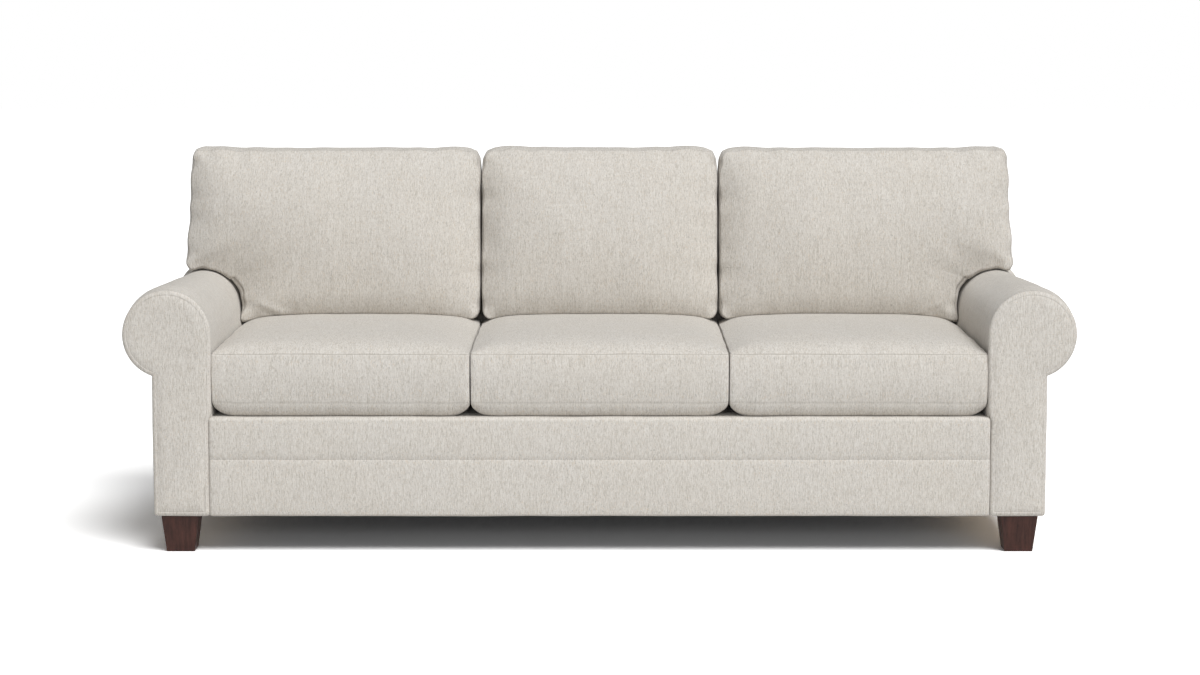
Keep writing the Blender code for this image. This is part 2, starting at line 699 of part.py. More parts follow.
def cushion_mesh(columns, rows, is_notch, band, crowns, reaches, bulge, waist):
    """A stuffed cushion that lies flat: a grid of cells made into a crowned slab.

    Its band stands between a seam round the top and a seam round the bottom. The two
    crowns, over the top and under the bottom, each rise over their own reach from the
    seam. The seams lie inside the middle of the band by bulge, and between the
    corners by waist as well.
    """
    bm = bmesh.new()
    bmesh.ops.create_grid(bm, x_segments=len(columns) - 1, y_segments=len(rows) - 1, size=0.5)
    for vertex in bm.verts:
        column = round((vertex.co.x + 0.5) * (len(columns) - 1))
        row = round((vertex.co.y + 0.5) * (len(rows) - 1))
        vertex.co = (columns[column], rows[row], 0)
    notch = [face for face in bm.faces if is_notch(face.calc_center_median())]
    bmesh.ops.delete(bm, geom=notch, context="FACES")

    rim = []
    for edge in bm.edges:
        if edge.is_boundary:
            ends = [vertex.co.copy() for vertex in edge.verts]
            inward = edge.link_faces[0].calc_center_median() - (ends[0] + ends[1]) / 2
            rim.append((ends, inward.normalized()))

    def ways_in(point):
        """The ways into the cushion from a point on its rim: one for each of its sides."""
        ways = {tuple(round(k) for k in inward) for ends, inward in rim if distance_to(ends, point) < WELD}
        return [Vector(way) for way in ways]

    corners = {tuple(end) for ends, _ in rim for end in ends if len(ways_in(end)) > 1}
    middle = raise_copy(bm, bm.faces[:], band / 2)
    raise_copy(bm, middle, band / 2)
    bmesh.ops.delete(bm, geom=middle, context="FACES")

    crease = bm.edges.layers.float.new("crease_edge")
    level = {vertex: round(vertex.co.z / band * 2) - 1 for vertex in bm.verts}
    flat = {vertex: Vector((vertex.co.x, vertex.co.y, 0)) for vertex in bm.verts}
    inside = {vertex: min(distance_to(ends, flat[vertex]) for ends, _ in rim) for vertex in bm.verts}
    for edge in bm.edges:
        start, end = edge.verts
        on_seam = max(inside[start], inside[end]) < WELD and level[start] * level[end] == 1
        if on_seam and any(distance_to(ends, (flat[start] + flat[end]) / 2) < WELD for ends, _ in rim):
            edge[crease] = SEAM_CREASE
    for vertex in bm.verts:
        side = level[vertex]
        if side:
            crown, reach = (crowns[0], reaches[0]) if side > 0 else (crowns[1], reaches[1])
            vertex.co.z = side * (band / 2 + crown * puff(inside[vertex], reach))
            if inside[vertex] < WELD:
                from_corner = min((flat[vertex] - Vector(corner)).length for corner in corners)
                draw = bulge + waist * puff(from_corner, reaches[0])
                vertex.co += sum(ways_in(flat[vertex]), Vector()) * draw
        else:
            vertex.co.z = 0
    bmesh.ops.recalc_face_normals(bm, faces=bm.faces)
    return mesh_from(bm)


def smooth_cushion(name, mesh, low, high):
    """Smooths a cushion's mesh and sizes it to the box between two corners."""
    holder = add(name + "_cage", mesh, None)
    smoother = holder.modifiers.new("smooth", "SUBSURF")
    smoother.levels = smoother.render_levels = 1
    bpy.context.view_layer.update()
    smooth = bpy.data.meshes.new_from_object(holder.evaluated_get(bpy.context.evaluated_depsgraph_get()))
    bpy.data.objects.remove(holder, do_unlink=True)
    bm = bmesh.new()
    bm.from_mesh(smooth)
    bpy.data.meshes.remove(smooth)
    bmesh.ops.triangulate(bm, faces=bm.faces)
    low, high = Vector(low), Vector(high)
    lowest = Vector(min(vertex.co[k] for vertex in bm.verts) for k in range(3))
    highest = Vector(max(vertex.co[k] for vertex in bm.verts) for k in range(3))
    bmesh.ops.translate(bm, vec=-(lowest + highest) / 2, verts=bm.verts)
    size = [(high[k] - low[k]) / (highest[k] - lowest[k]) for k in range(3)]
    bmesh.ops.scale(bm, vec=size, verts=bm.verts)
    piece = add(name, mesh_from(bm), OATMEAL, (low + high) / 2)
    piece.data.shade_smooth()
    return piece


def seat_cushion(name, column):
    half = SEAT_CUSHION_WIDTH / 2
    middle = column * SEAT_PITCH
    low = (middle - half, FRONT_Y + SEAT_SETBACK, SEAT_BOTTOM)
    high = (middle + half, inside_y(DECK_TOP) - FIT_GAP, SEAT_TOP)
    mesh = cushion_mesh(
        spread(-half, half, SEAT_CELL_COUNT),
        spread(low[1], high[1], SEAT_CELL_COUNT),
        lambda centre: False,
        SEAT_BAND,
        (SEAT_TOP_CROWN, SEAT_BOTTOM_CROWN),
        (SEAT_TOP_REACH, SEAT_BOTTOM_REACH),
        SEAT_BULGE,
        SEAT_WAIST,
    )
    return smooth_cushion("seat_cushion_" + name, mesh, low, high)


def space_over(name, seat, front):
    """What a back cushion loses below: all that is under a plane that lies on its seat.

    The plane falls to the rear as steeply as the seat's crown does under the middle of
    the back cushion, whose front is given, and it touches the seat cushion at one place.
    """
    covered = seat.location.y + max(vertex.co.y for vertex in seat.data.vertices) - front
    fall = 2 * SEAT_TOP_CROWN / SEAT_TOP_REACH * (1 - covered / 2 / SEAT_TOP_REACH)
    top = max(vertex.co.z + fall * (vertex.co.y + seat.location.y - front) for vertex in seat.data.vertices)
    top += seat.location.z + FIT_GAP
    low = (seat.location.x - SEAT_PITCH, front - CUTTER_OVERRUN, SEAT_BOTTOM)
    high = (seat.location.x + SEAT_PITCH, rear_y(BACK_TOP), top)
    cutter = box("space_over_" + name, low, high, None)
    for vertex in cutter.data.vertices:
        vertex.co.z -= fall * (vertex.co.y + cutter.location.y - front)
    return cutter


def back_cushion(name, column, seat):
    """A cushion that leans on the back. At an arm, it has an ear over the roll."""
    bottom, top = SEAT_TOP_SEAM, BACK_CUSHION_TOP
    shoulder = ROLL_TOP + EAR_GAP
    outer = INNER_HALF - ARM_GAP
    rows = spread(bottom, shoulder, NOTCH_CELL_COUNT) + spread(shoulder, top, BACK_CELL_COUNT)[1:]
    if column:
        inner = SEAT_PITCH / 2 + CUSHION_GAP / 2
        right = spread(inner, outer, BACK_CELL_COUNT) + spread(outer, OUTER_HALF + EAR_OVERHANG, EAR_CELL_COUNT)[1:]
        columns = sorted(column * place for place in right)
    else:
        half = SEAT_CUSHION_WIDTH / 2
        columns = spread(-half, half, BACK_CELL_COUNT)
    mesh = cushion_mesh(
        columns,
        rows,
        lambda centre: abs(centre.x) > outer and centre.y < shoulder,
        BACK_BAND,
        (BACK_CUSHION_THICKNESS - BACK_BAND - BACK_REAR_CROWN, BACK_REAR_CROWN),
        (BACK_FRONT_REACH, BACK_REAR_REACH),
        BACK_BULGE,
        BACK_WAIST,
    )
    mesh.transform(Matrix.Rotation(math.radians(90), 4, "X"))
    rear = inside_y(bottom) - FIT_GAP
    low = (columns[0], rear - BACK_CUSHION_THICKNESS, bottom)
    cushion = smooth_cushion("back_cushion_" + name, mesh, low, (columns[-1], rear, top))
    lean(cushion, BACK_RECLINE, bottom)
    change(cushion, "DIFFERENCE", space_over(name, seat, low[1]))
    if column:
        change(cushion, "DIFFERENCE", CLEAR_OF_ARM[name])


for side_name, side_sign in SIDES.items():
    arm_front_panel(side_name, side_sign)
    arm_cover(side_name, side_sign)
    arm_frame(side_name, side_sign)
    leg("front", side_name, side_sign)
    leg("rear", side_name, side_sign)
front_border()
seat_frame()
seat_cloths()
inside_back()
outside_back()
back_frame()
back_webbing()
for seat_name, seat_column in SEATS.items():
    seat_springs(seat_name, seat_column)
    back_cushion(seat_name, seat_column, seat_cushion(seat_name, seat_column))
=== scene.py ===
"""The finish of the rolled arm sofa: its timber, springs, covers and cushions, each in its own
material, with soft cushions in place of the plain ones. Sizes are in metres."""

import json
import math

import bmesh
import bpy
from mathutils import Matrix, Vector, noise
from mathutils.bvhtree import BVHTree

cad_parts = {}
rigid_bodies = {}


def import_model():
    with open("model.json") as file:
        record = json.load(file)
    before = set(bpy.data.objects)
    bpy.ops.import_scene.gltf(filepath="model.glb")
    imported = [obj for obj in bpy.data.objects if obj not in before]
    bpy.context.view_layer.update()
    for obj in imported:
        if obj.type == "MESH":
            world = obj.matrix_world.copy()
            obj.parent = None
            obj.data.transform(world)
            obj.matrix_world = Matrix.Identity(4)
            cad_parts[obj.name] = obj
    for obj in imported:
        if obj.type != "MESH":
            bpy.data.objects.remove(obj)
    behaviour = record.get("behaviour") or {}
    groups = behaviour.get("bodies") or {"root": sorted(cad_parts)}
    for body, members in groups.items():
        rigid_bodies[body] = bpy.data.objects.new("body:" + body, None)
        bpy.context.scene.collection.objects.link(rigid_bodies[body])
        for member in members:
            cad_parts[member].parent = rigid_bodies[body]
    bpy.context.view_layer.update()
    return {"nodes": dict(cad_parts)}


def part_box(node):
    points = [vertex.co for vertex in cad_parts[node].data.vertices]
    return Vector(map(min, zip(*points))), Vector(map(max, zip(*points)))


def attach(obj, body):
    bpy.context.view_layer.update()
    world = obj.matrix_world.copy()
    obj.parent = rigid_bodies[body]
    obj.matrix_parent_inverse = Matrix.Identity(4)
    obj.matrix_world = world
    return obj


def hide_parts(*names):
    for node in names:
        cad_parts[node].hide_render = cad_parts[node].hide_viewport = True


for left_over in list(bpy.data.objects):
    bpy.data.objects.remove(left_over, do_unlink=True)

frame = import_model()
nodes = frame["nodes"]


# Frame timber. The hidden frame is sawn from kiln-dried softwood and screwed together.
# Rails show a long grain with darker growth lines, and the boards are the same stock.
def new_material(name, roughness, metallic=0.0):
    made = bpy.data.materials.new(name)
    made.use_nodes = True
    shader = made.node_tree.nodes["Principled BSDF"]
    shader.inputs["Roughness"].default_value = roughness
    shader.inputs["Metallic"].default_value = metallic
    return made


def add_node(material, kind, feeds=None, **settings):
    """Adds a node. Each feed goes to the input of that name or number: a socket or a plain value."""
    made = material.node_tree.nodes.new("ShaderNode" + kind)
    for setting, value in settings.items():
        setattr(made, setting, value)
    for key, value in (feeds or {}).items():
        if isinstance(value, bpy.types.NodeSocket):
            material.node_tree.links.new(value, made.inputs[key])
        else:
            made.inputs[key].default_value = value
    return made


def feed_shader(material, **sockets):
    """Joins sockets to the shader, whose inputs are named with underscores for spaces."""
    shader = material.node_tree.nodes["Principled BSDF"]
    for name, socket in sockets.items():
        material.node_tree.links.new(socket, shader.inputs[name.replace("_", " ")])


def set_shader(material, **values):
    """Sets plain values on the shader, whose inputs are named with underscores for spaces."""
    shader = material.node_tree.nodes["Principled BSDF"]
    for name, value in values.items():
        shader.inputs[name.replace("_", " ")].default_value = value


def object_place(material):
    """Where a point is on its object, in the object's own coordinates."""
    return add_node(material, "TexCoord").outputs["Object"]


def stretched_noise(material, place, scale, detail=3.0, roughness=0.55):
    """Noise whose scale differs along the three axes: a small one draws it out lengthways."""
    stretched = add_node(material, "Mapping", {"Vector": place, "Scale": scale}).outputs[0]
    feeds = {"Vector": stretched, "Scale": 1.0, "Detail": detail, "Roughness": roughness}
    return add_node(material, "TexNoise", feeds).outputs[0]


def ramp(material, factor, *stops):
    """A colour ramp through stops of a place and a colour."""
    made = add_node(material, "ValToRGB", {"Fac": factor})
    elements = made.color_ramp.elements
    while len(elements) < len(stops):
        elements.new(0.5)
    for element, (place, colour) in zip(elements, stops):
        element.position = place
        element.color = (*colour, 1)
    return made.outputs["Color"]


def mixed(material, factor, first, second, how="MIX"):
    """Two colours mixed by a factor."""
    feeds = {0: factor, 6: first, 7: second}
    return add_node(material, "Mix", feeds, data_type="RGBA", blend_type=how).outputs[2]


def bump(material, height, strength, distance, under=None):
    feeds = {"Height": height, "Strength": strength, "Distance": distance}
    if under:
        feeds["Normal"] = under
    return add_node(material, "Bump", feeds).outputs[0]


def maths(material, operation, *values):
    """A number worked out from sockets and plain values, by this operation of a Math node."""
    return add_node(material, "Math", dict(enumerate(values)), operation=operation).outputs[0]


def give(material, *starts):
    """Puts a material on the CAD nodes whose names begin with any of these."""
    for name, node in nodes.items():
        if name.startswith(starts):
            node.data.materials.clear()
            node.data.materials.append(material)


TIMBER_DARK = (0.36, 0.235, 0.125)
TIMBER_MID = (0.60, 0.44, 0.27)
TIMBER_PALE = (0.72, 0.57, 0.38)
GRAIN_ACROSS = 210.0
GRAIN_ALONG = 7.0


def sawn_timber(name, along):
    """Softwood whose grain runs along one axis: 0 for X, 1 for Y, 2 for Z."""
    made = new_material(name, 0.72)
    place = object_place(made)
    scale = [GRAIN_ACROSS] * 3
    scale[along] = GRAIN_ALONG
    grain = stretched_noise(made, place, scale, 5.0)
    rings = stretched_noise(made, place, [value * 0.16 for value in scale], 2.0)
    tone = maths(made, "MULTIPLY", maths(made, "ADD", grain, rings), 0.5)
    colour = ramp(made, tone, (0.32, TIMBER_DARK), (0.48, TIMBER_MID), (0.66, TIMBER_PALE))
    feed_shader(made, Base_Color=colour, Normal=bump(made, grain, 0.35, 0.0004))
    return made


RAILS_ALONG = {
    0: ("front_rail", "rear_rail", "back_top_rail", "back_spacer_"),
    1: ("side_rail_", "seat_stretcher_", "arm_base_rail_", "arm_tack_rail_"),
    2: ("back_post_", "arm_front_board_", "arm_rear_board_"),
}
for axis, starts in RAILS_ALONG.items():
    give(sawn_timber("sawn_timber_" + "xyz"[axis], axis), *starts)


# Seat springs and leg bolts. The springs are bright drawn wire in zigzags, clipped to the
# rails and tied across; the bolts are zinc-plated and go up through the arms' base rails.
DRAWN_WIRE = (0.40, 0.40, 0.42)
ZINC = (0.56, 0.57, 0.58)


def bare_metal(name, colour, roughness):
    made = new_material(name, roughness, 1.0)
    set_shader(made, Base_Color=(*colour, 1))
    place = object_place(made)
    scratches = stretched_noise(made, place, (900.0, 900.0, 260.0), 2.0)
    dull = ramp(made, scratches, (0.3, (roughness * 0.75,) * 3), (0.7, (roughness * 1.35,) * 3))
    feed_shader(made, Roughness=dull, Normal=bump(made, scratches, 0.2, 0.0001))
    return made


give(bare_metal("drawn_wire", DRAWN_WIRE, 0.34), "seat_springs_")
give(bare_metal("zinc_plate", ZINC, 0.42), "leg_bolt_")


# Back webbing. Jute straps, woven in a coarse herringbone with a darker line down each
# edge, are stretched across the back posts and stapled.
JUTE = (0.235, 0.195, 0.135)
JUTE_DARK = (0.120, 0.095, 0.062)

webbing = new_material("jute_webbing", 0.9)
place = object_place(webbing)
weft = stretched_noise(webbing, place, (900.0, 60.0, 160.0), 2.0)
warp = stretched_noise(webbing, place, (60.0, 60.0, 1100.0), 2.0)
crossed = maths(webbing, "MULTIPLY", weft, warp)
feed_shader(
    webbing,
    Base_Color=ramp(webbing, crossed, (0.12, JUTE_DARK), (0.34, JUTE)),
    Normal=bump(webbing, crossed, 0.6, 0.0006),
)
give(webbing, "back_web_")


# Roll cores. Each arm's roll is built up on a bar of open-cell foam, cut with a hot wire.
FOAM_PALE = (0.84, 0.79, 0.62)
FOAM_DARK = (0.62, 0.55, 0.38)

foam = new_material("cut_foam", 0.95)
place = object_place(foam)
cells = add_node(foam, "TexVoronoi", {"Vector": place, "Scale": 420.0}).outputs["Distance"]
feed_shader(
    foam,
    Base_Color=ramp(foam, cells, (0.05, FOAM_DARK), (0.45, FOAM_PALE)),
    Normal=bump(foam, cells, 0.6, 0.0008),
)
give(foam, "arm_roll_core_")


# Dust cover. Thin black spun cloth is stretched over the underside and stapled to the rails,
# so that it sags a little between them. It keeps dust out and hides the springs.
DUST_BLACK = (0.018, 0.018, 0.020)
DUST_GREY = (0.045, 0.045, 0.048)
DUST_CELL = 0.035
DUST_THICKNESS = 0.0012
DUST_SAG = 0.0006


def put(name, data):
    """Makes an object of a mesh, lamp or camera, in the scene."""
    made = bpy.data.objects.new(name, data)
    bpy.context.scene.collection.objects.link(made)
    return made


def mesh_of(name, bm):
    """A bmesh as a mesh. The bmesh is freed."""
    mesh = bpy.data.meshes.new(name)
    bm.to_mesh(mesh)
    bm.free()
    return mesh


def keep(name, bm, material, smooth=True):
    """Makes a bmesh a finished piece, with its material and smooth shading."""
    bmesh.ops.recalc_face_normals(bm, faces=bm.faces)
    mesh = mesh_of(name, bm)
    mesh.materials.append(material)
    if smooth:
        mesh.shade_smooth()
    return put(name, mesh)


def settle(piece, node, body="sofa"):
    """Puts a finished piece in a CAD node's place, hiding the node, and on its body."""
    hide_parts(node)
    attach(piece, body)
    return piece


dust_cloth = new_material("spun_dust_cloth", 0.95)
place = object_place(dust_cloth)
fibres = stretched_noise(dust_cloth, place, (260.0, 260.0, 260.0), 4.0, 0.7)
feed_shader(
    dust_cloth,
    Base_Color=ramp(dust_cloth, fibres, (0.3, DUST_BLACK), (0.75, DUST_GREY)),
    Normal=bump(dust_cloth, fibres, 0.5, 0.0004),
)
low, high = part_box("dust_cover")
middle = (low + high) / 2
size = high - low
bm = bmesh.new()
columns, rows = round(size.x / DUST_CELL), round(size.y / DUST_CELL)
bmesh.ops.create_grid(bm, x_segments=columns, y_segments=rows, size=0.5)
bmesh.ops.scale(bm, vec=(size.x, size.y, 1), verts=bm.verts)
bmesh.ops.translate(bm, vec=(middle.x, middle.y, high.z - DUST_THICKNESS / 2), verts=bm.verts)
for vertex in bm.verts:
    across = math.cos(math.pi * (vertex.co.x - middle.x) / size.x)
    along = math.cos(math.pi * (vertex.co.y - middle.y) / size.y)
    vertex.co.z -= DUST_SAG * math.sqrt(max(across * along, 0.0))
bmesh.ops.solidify(bm, geom=bm.faces[:], thickness=DUST_THICKNESS)
dust_cover = keep("dust_cover_cloth", bm, dust_cloth)
settle(dust_cover, "dust_cover")


# Upholstery fabric. A heavy linen-look weave: oatmeal yarn with long raised slubs down the
# warp, thinner weft threads across them, and flecks of beige and grey.
OATMEAL = (0.604, 0.574, 0.531)
OATMEAL_PALE = (0.685, 0.660, 0.618)
OATMEAL_SHADE = (0.452, 0.421, 0.372)
FLECK_GREY = (0.355, 0.340, 0.315)
FLECK_BEIGE = (0.570, 0.490, 0.395)
# The colour of the painted shade along cushion seams, standing in for the shadow in their grooves.
PAINTED_SEAM_SHADE = (0.250, 0.225, 0.190)
SLUBS = (700.0, 115.0)
STREAKS = (400.0, 26.0)
FLECKS = (560.0, 180.0)
WEFT = (160.0, 700.0)
SLUB_SHARE = 0.56
STREAK_SHARE = 0.26
WEFT_SHARE = 0.18
THREAD_PITCH = 0.0016


def oatmeal_weave(name, round_the_arm=False):
    """The fabric. Its warp runs up the fronts, backs and sides and over the seats from front
    to back, or round the arm on the pieces that wrap the roll. Shade is painted into a cushion's
    seams, by the amount of seam the mesh keeps as "seam", for the shadow in the seam's groove."""
    made = new_material(name, 0.88)
    set_shader(made, Sheen_Weight=0.22, Sheen_Roughness=0.45, Specular_IOR_Level=0.25)
    place = object_place(made)
    if round_the_arm:
        on_side = 1.0
    else:
        normal = add_node(made, "NewGeometry").outputs["Normal"]
        facing = add_node(made, "SeparateXYZ", {"Vector": normal}).outputs["X"]
        sideways = maths(made, "ABSOLUTE", facing)
        feeds = {"Value": sideways, "From Min": 0.62, "From Max": 0.78}
        on_side = add_node(made, "MapRange", feeds, interpolation_type="SMOOTHSTEP").outputs[0]

    def layer(threads, detail, offset=0.0):
        """One layer of yarn, so many across and along a metre, turned where the cloth faces
        sideways."""
        across, along = threads
        shifted = add_node(made, "VectorMath", {0: place, 1: (offset, offset, offset)}).outputs[0]
        front = stretched_noise(made, shifted, (across, along, along), detail, 0.55)
        side = stretched_noise(made, shifted, (along, across, along), detail, 0.55)
        return add_node(made, "Mix", {0: on_side, 2: front, 3: side}).outputs[0]

    slubs = layer(SLUBS, 2.0)
    streaks = layer(STREAKS, 2.0, 0.37)
    flecks = layer(FLECKS, 0.0, 1.91)
    weft = stretched_noise(made, place, (WEFT[0], WEFT[0], WEFT[1]), 1.0)
    mottle = stretched_noise(made, place, (9.0, 9.0, 6.0), 3.0)

    yarn = maths(made, "MULTIPLY", slubs, SLUB_SHARE)
    yarn = maths(made, "MULTIPLY_ADD", streaks, STREAK_SHARE, yarn)
    yarn = maths(made, "MULTIPLY_ADD", weft, WEFT_SHARE, yarn)
    cloth = ramp(made, yarn, (0.36, OATMEAL_SHADE), (0.50, OATMEAL), (0.62, OATMEAL_PALE))
    tint = ramp(made, mottle, (0.35, (0.996, 0.990, 0.980)), (0.65, (1.0, 1.0, 1.0)))
    cloth = mixed(made, 1.0, cloth, tint, "MULTIPLY")
    for start, stop, colour, depth in ((0.68, 0.76, FLECK_BEIGE, 0.70), (0.30, 0.22, FLECK_GREY, 0.60)):
        feeds = {"Value": flecks, "From Min": start, "From Max": stop, "To Max": depth}
        amount = add_node(made, "MapRange", feeds).outputs[0]
        cloth = mixed(made, amount, cloth, (*colour, 1))
    # Painted shade: the cloth darkens along a cushion's seams, by the mesh's "seam" amount, in place of
    # the groove's own shadow.
    seam = add_node(made, "Attribute", attribute_name="seam").outputs["Fac"]
    feeds = {"Value": seam, "From Min": 0.35, "From Max": 0.75, "To Max": 0.48}
    cloth = mixed(made, add_node(made, "MapRange", feeds).outputs[0], cloth, (*PAINTED_SEAM_SHADE, 1))

    pitch = math.tau / THREAD_PITCH
    woven = add_node(made, "SeparateXYZ", {"Vector": place})
    waves = []
    for axis in "XYZ":
        waves.append(maths(made, "SINE", maths(made, "MULTIPLY", woven.outputs[axis], pitch)))
    threads = maths(made, "MULTIPLY", waves[0], waves[2])
    threads = maths(made, "MULTIPLY_ADD", waves[1], 0.6, threads)
    fine = bump(made, threads, 0.22, 0.0003)
    feed_shader(made, Base_Color=cloth, Normal=bump(made, yarn, 0.55, 0.0016, fine))
    return made


weave = oatmeal_weave("oatmeal_weave")


# Seat deck. A padded platform over the springs, in the same fabric. It is sewn to the
# border's turned-back edge, with a pulled seam, and dips a little at each seat.
DECK_CELL = 0.016
DECK_DIP = 0.0030
DECK_EDGE = 0.004
DECK_UNEVEN_SIZE = 0.08
DECK_UNEVEN_SHARE = 0.4
SEAT_COUNT = 3
NEAR = 0.0001


def whole(bm):
    return bm.verts[:] + bm.edges[:] + bm.faces[:]


def slice_up(bm, cells):
    """Cuts a mesh into slabs no thicker than these cells along each axis, or not where None."""
    for axis, cell in enumerate(cells):
        if cell is None:
            continue
        places = [vertex.co[axis] for vertex in bm.verts]
        start, length = min(places), max(places) - min(places)
        count = math.ceil(length / cell)
        direction = Vector(1.0 if k == axis else 0.0 for k in range(3))
        for cut in range(1, count):
            place = direction * (start + length * cut / count)
            bmesh.ops.bisect_plane(bm, geom=whole(bm), plane_co=place, plane_no=direction, dist=NEAR)


def round_edges(bm, edges, radius):
    bmesh.ops.bevel(bm, geom=edges, offset=radius, affect="EDGES", segments=3, profile=0.5, material=-1)


def rumple(vertex, size, amount):
    """Moves a vertex a little along its normal, by smooth noise that is the same each run."""
    vertex.co += vertex.normal * amount * noise.noise(vertex.co / size)


low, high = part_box("seat_deck")
size = high - low
bm = bmesh.new()
bmesh.ops.create_cube(bm, size=1)
bmesh.ops.scale(bm, vec=size, verts=bm.verts)
bmesh.ops.translate(bm, vec=(low + high) / 2, verts=bm.verts)
upper = [edge for edge in bm.edges if all(vertex.co.z > high.z - NEAR for vertex in edge.verts)]
round_edges(bm, upper, DECK_EDGE)
slice_up(bm, (DECK_CELL, DECK_CELL, None))
for vertex in bm.verts:
    if vertex.co.z > high.z - NEAR:
        across = (vertex.co.x - low.x) / size.x * SEAT_COUNT
        along = (vertex.co.y - low.y) / size.y
        dip = abs(math.sin(math.pi * across)) * math.sin(math.pi * along)
        uneven = 1 + DECK_UNEVEN_SHARE * noise.noise(vertex.co / DECK_UNEVEN_SIZE)
        vertex.co.z -= DECK_DIP * dip * uneven
deck = settle(keep("seat_deck_cover", bm, weave), "seat_deck")


# Front border. A deep padded band under the seats, in two strips that a plain seam joins
# across its whole width. It is turned over the front rail at the top and tucked at the ends.
BORDER_SEAM_SHARE = 0.575
BORDER_TOP_RADIUS = 0.010
BORDER_FOOT_RADIUS = 0.007
BORDER_END_RADIUS = 0.006
BORDER_PAD = 0.0135
BORDER_SWELL = 0.0022
BORDER_CELL = 0.012
BORDER_END_CELL = 0.02
BORDER_STEPS = 10
BORDER_RUMPLE = (0.11, 0.0011)
SEAM_WIDTH = 0.0016
SEAM_DEPTH = 0.0008


def clamp(value, least=0, most=1):
    return min(max(value, least), most)


def arc(centre, radius, start, end, steps):
    """Points along an arc, its ends included."""
    angles = [start + (end - start) * k / steps for k in range(steps + 1)]
    return [(centre[0] + radius * math.cos(a), centre[1] + radius * math.sin(a)) for a in angles]


def outline_face(bm, outline, place):
    """A flat face from an outline's points. place turns one of them into a place in 3-D."""
    corners = [bm.verts.new(place(first, second)) for first, second in outline]
    return bm.faces.new(corners)


def extrude(bm, faces, move):
    """Extrudes faces by a move, and returns those at the far end. The first ones stay."""
    grown = bmesh.ops.extrude_face_region(bm, geom=faces)["geom"]
    moved = [item for item in grown if isinstance(item, bmesh.types.BMVert)]
    bmesh.ops.translate(bm, vec=move, verts=moved)
    return [item for item in grown if isinstance(item, bmesh.types.BMFace)]


def draw_out(bm, face, direction, lengths):
    """Pulls a face along a direction in steps, and returns the face at the far end."""
    for number, length in enumerate(lengths):
        far = extrude(bm, [face], Vector(direction) * length)
        if number:
            bm.faces.remove(face)
        face = far[0]
    return face


def cut_lengths(length, cell, first=None):
    """Equal steps of about one cell that fill a length, with a first and last step if given."""
    ends = [first] if first else []
    count = max(round((length - 2 * sum(ends)) / cell), 1)
    return ends + [(length - 2 * sum(ends)) / count] * count + ends


low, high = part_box("front_border")
well_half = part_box("seat_deck")[1].x
panel_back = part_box("arm_front_panel_right")[1].y
seam_z = low.z + BORDER_SEAM_SHARE * (high.z - low.z)
foot = BORDER_FOOT_RADIUS
radius = BORDER_TOP_RADIUS
strips = []
for start, end in ((low.z + foot, seam_z - SEAM_WIDTH), (seam_z + SEAM_WIDTH, high.z - radius)):
    strip = []
    for k in range(BORDER_STEPS + 1):
        swell = BORDER_SWELL * math.sin(math.pi * k / BORDER_STEPS) ** 0.6
        strip.append((low.y - swell, start + (end - start) * k / BORDER_STEPS))
    strips.append(strip)
seam = [(low.y + SEAM_DEPTH * 0.5, seam_z - SEAM_WIDTH * 0.4), (low.y + SEAM_DEPTH, seam_z)]
seam.append((low.y + SEAM_DEPTH * 0.5, seam_z + SEAM_WIDTH * 0.4))
outline = [
    (low.y + BORDER_PAD, low.z),
    *arc((low.y + foot, low.z + foot), foot, -math.pi / 2, -math.pi, 4)[:-1],
    *strips[0],
    *seam,
    *strips[1],
    *arc((low.y + radius, high.z - radius), radius, math.pi, math.pi / 2, 7)[1:],
    *[(low.y + radius + (high.y - low.y - radius) * k / 6, high.z) for k in range(1, 7)],
    (high.y, high.z - BORDER_PAD),
    (low.y + radius, high.z - BORDER_PAD),
    (low.y + BORDER_PAD, high.z - radius),
]
bm = bmesh.new()
start_face = outline_face(bm, outline, lambda y, z: (low.x, y, z))
end_face = draw_out(bm, start_face, (1, 0, 0), cut_lengths(high.x - low.x, BORDER_CELL, BORDER_END_CELL))
ends = set(start_face.edges[:] + end_face.edges[:])
round_edges(bm, list(ends), BORDER_END_RADIUS)
bm.normal_update()
for vertex in bm.verts:
    if vertex.co.y > panel_back - NEAR:
        vertex.co.x = clamp(vertex.co.x, -well_half, well_half)
    rumple(vertex, *BORDER_RUMPLE)
border = settle(keep("front_border_cover", bm, weave), "front_border")


# Inside back. The padded front, top and ends of the back, drawn over the frame and round
# both arms. Its edges are soft, and near each end a seam runs over the top and part way down.
BACK_VOXEL = 0.0085
BACK_SMOOTHING = 5
END_SEAM_INSET = 0.016
END_SEAM_LENGTH = 0.3
INSIDE_BACK_RUMPLE = (0.13, 0.0012)


def cad_copy(node):
    """A CAD node's mesh with its triangles joined up."""
    bm = bmesh.new()
    bm.from_mesh(nodes[node].data)
    bmesh.ops.remove_doubles(bm, verts=bm.verts, dist=NEAR)
    return bm


def remeshed(bm, voxel):
    """The same shape in even cells, soft at its edges."""
    rough = put("rough", mesh_of("rough", bm))
    modifier = rough.modifiers.new("cells", "REMESH")
    modifier.mode = "VOXEL"
    modifier.voxel_size = voxel
    evaluated = rough.evaluated_get(bpy.context.evaluated_depsgraph_get())
    made = bmesh.new()
    made.from_mesh(evaluated.to_mesh())
    bpy.data.objects.remove(rough, do_unlink=True)
    return made


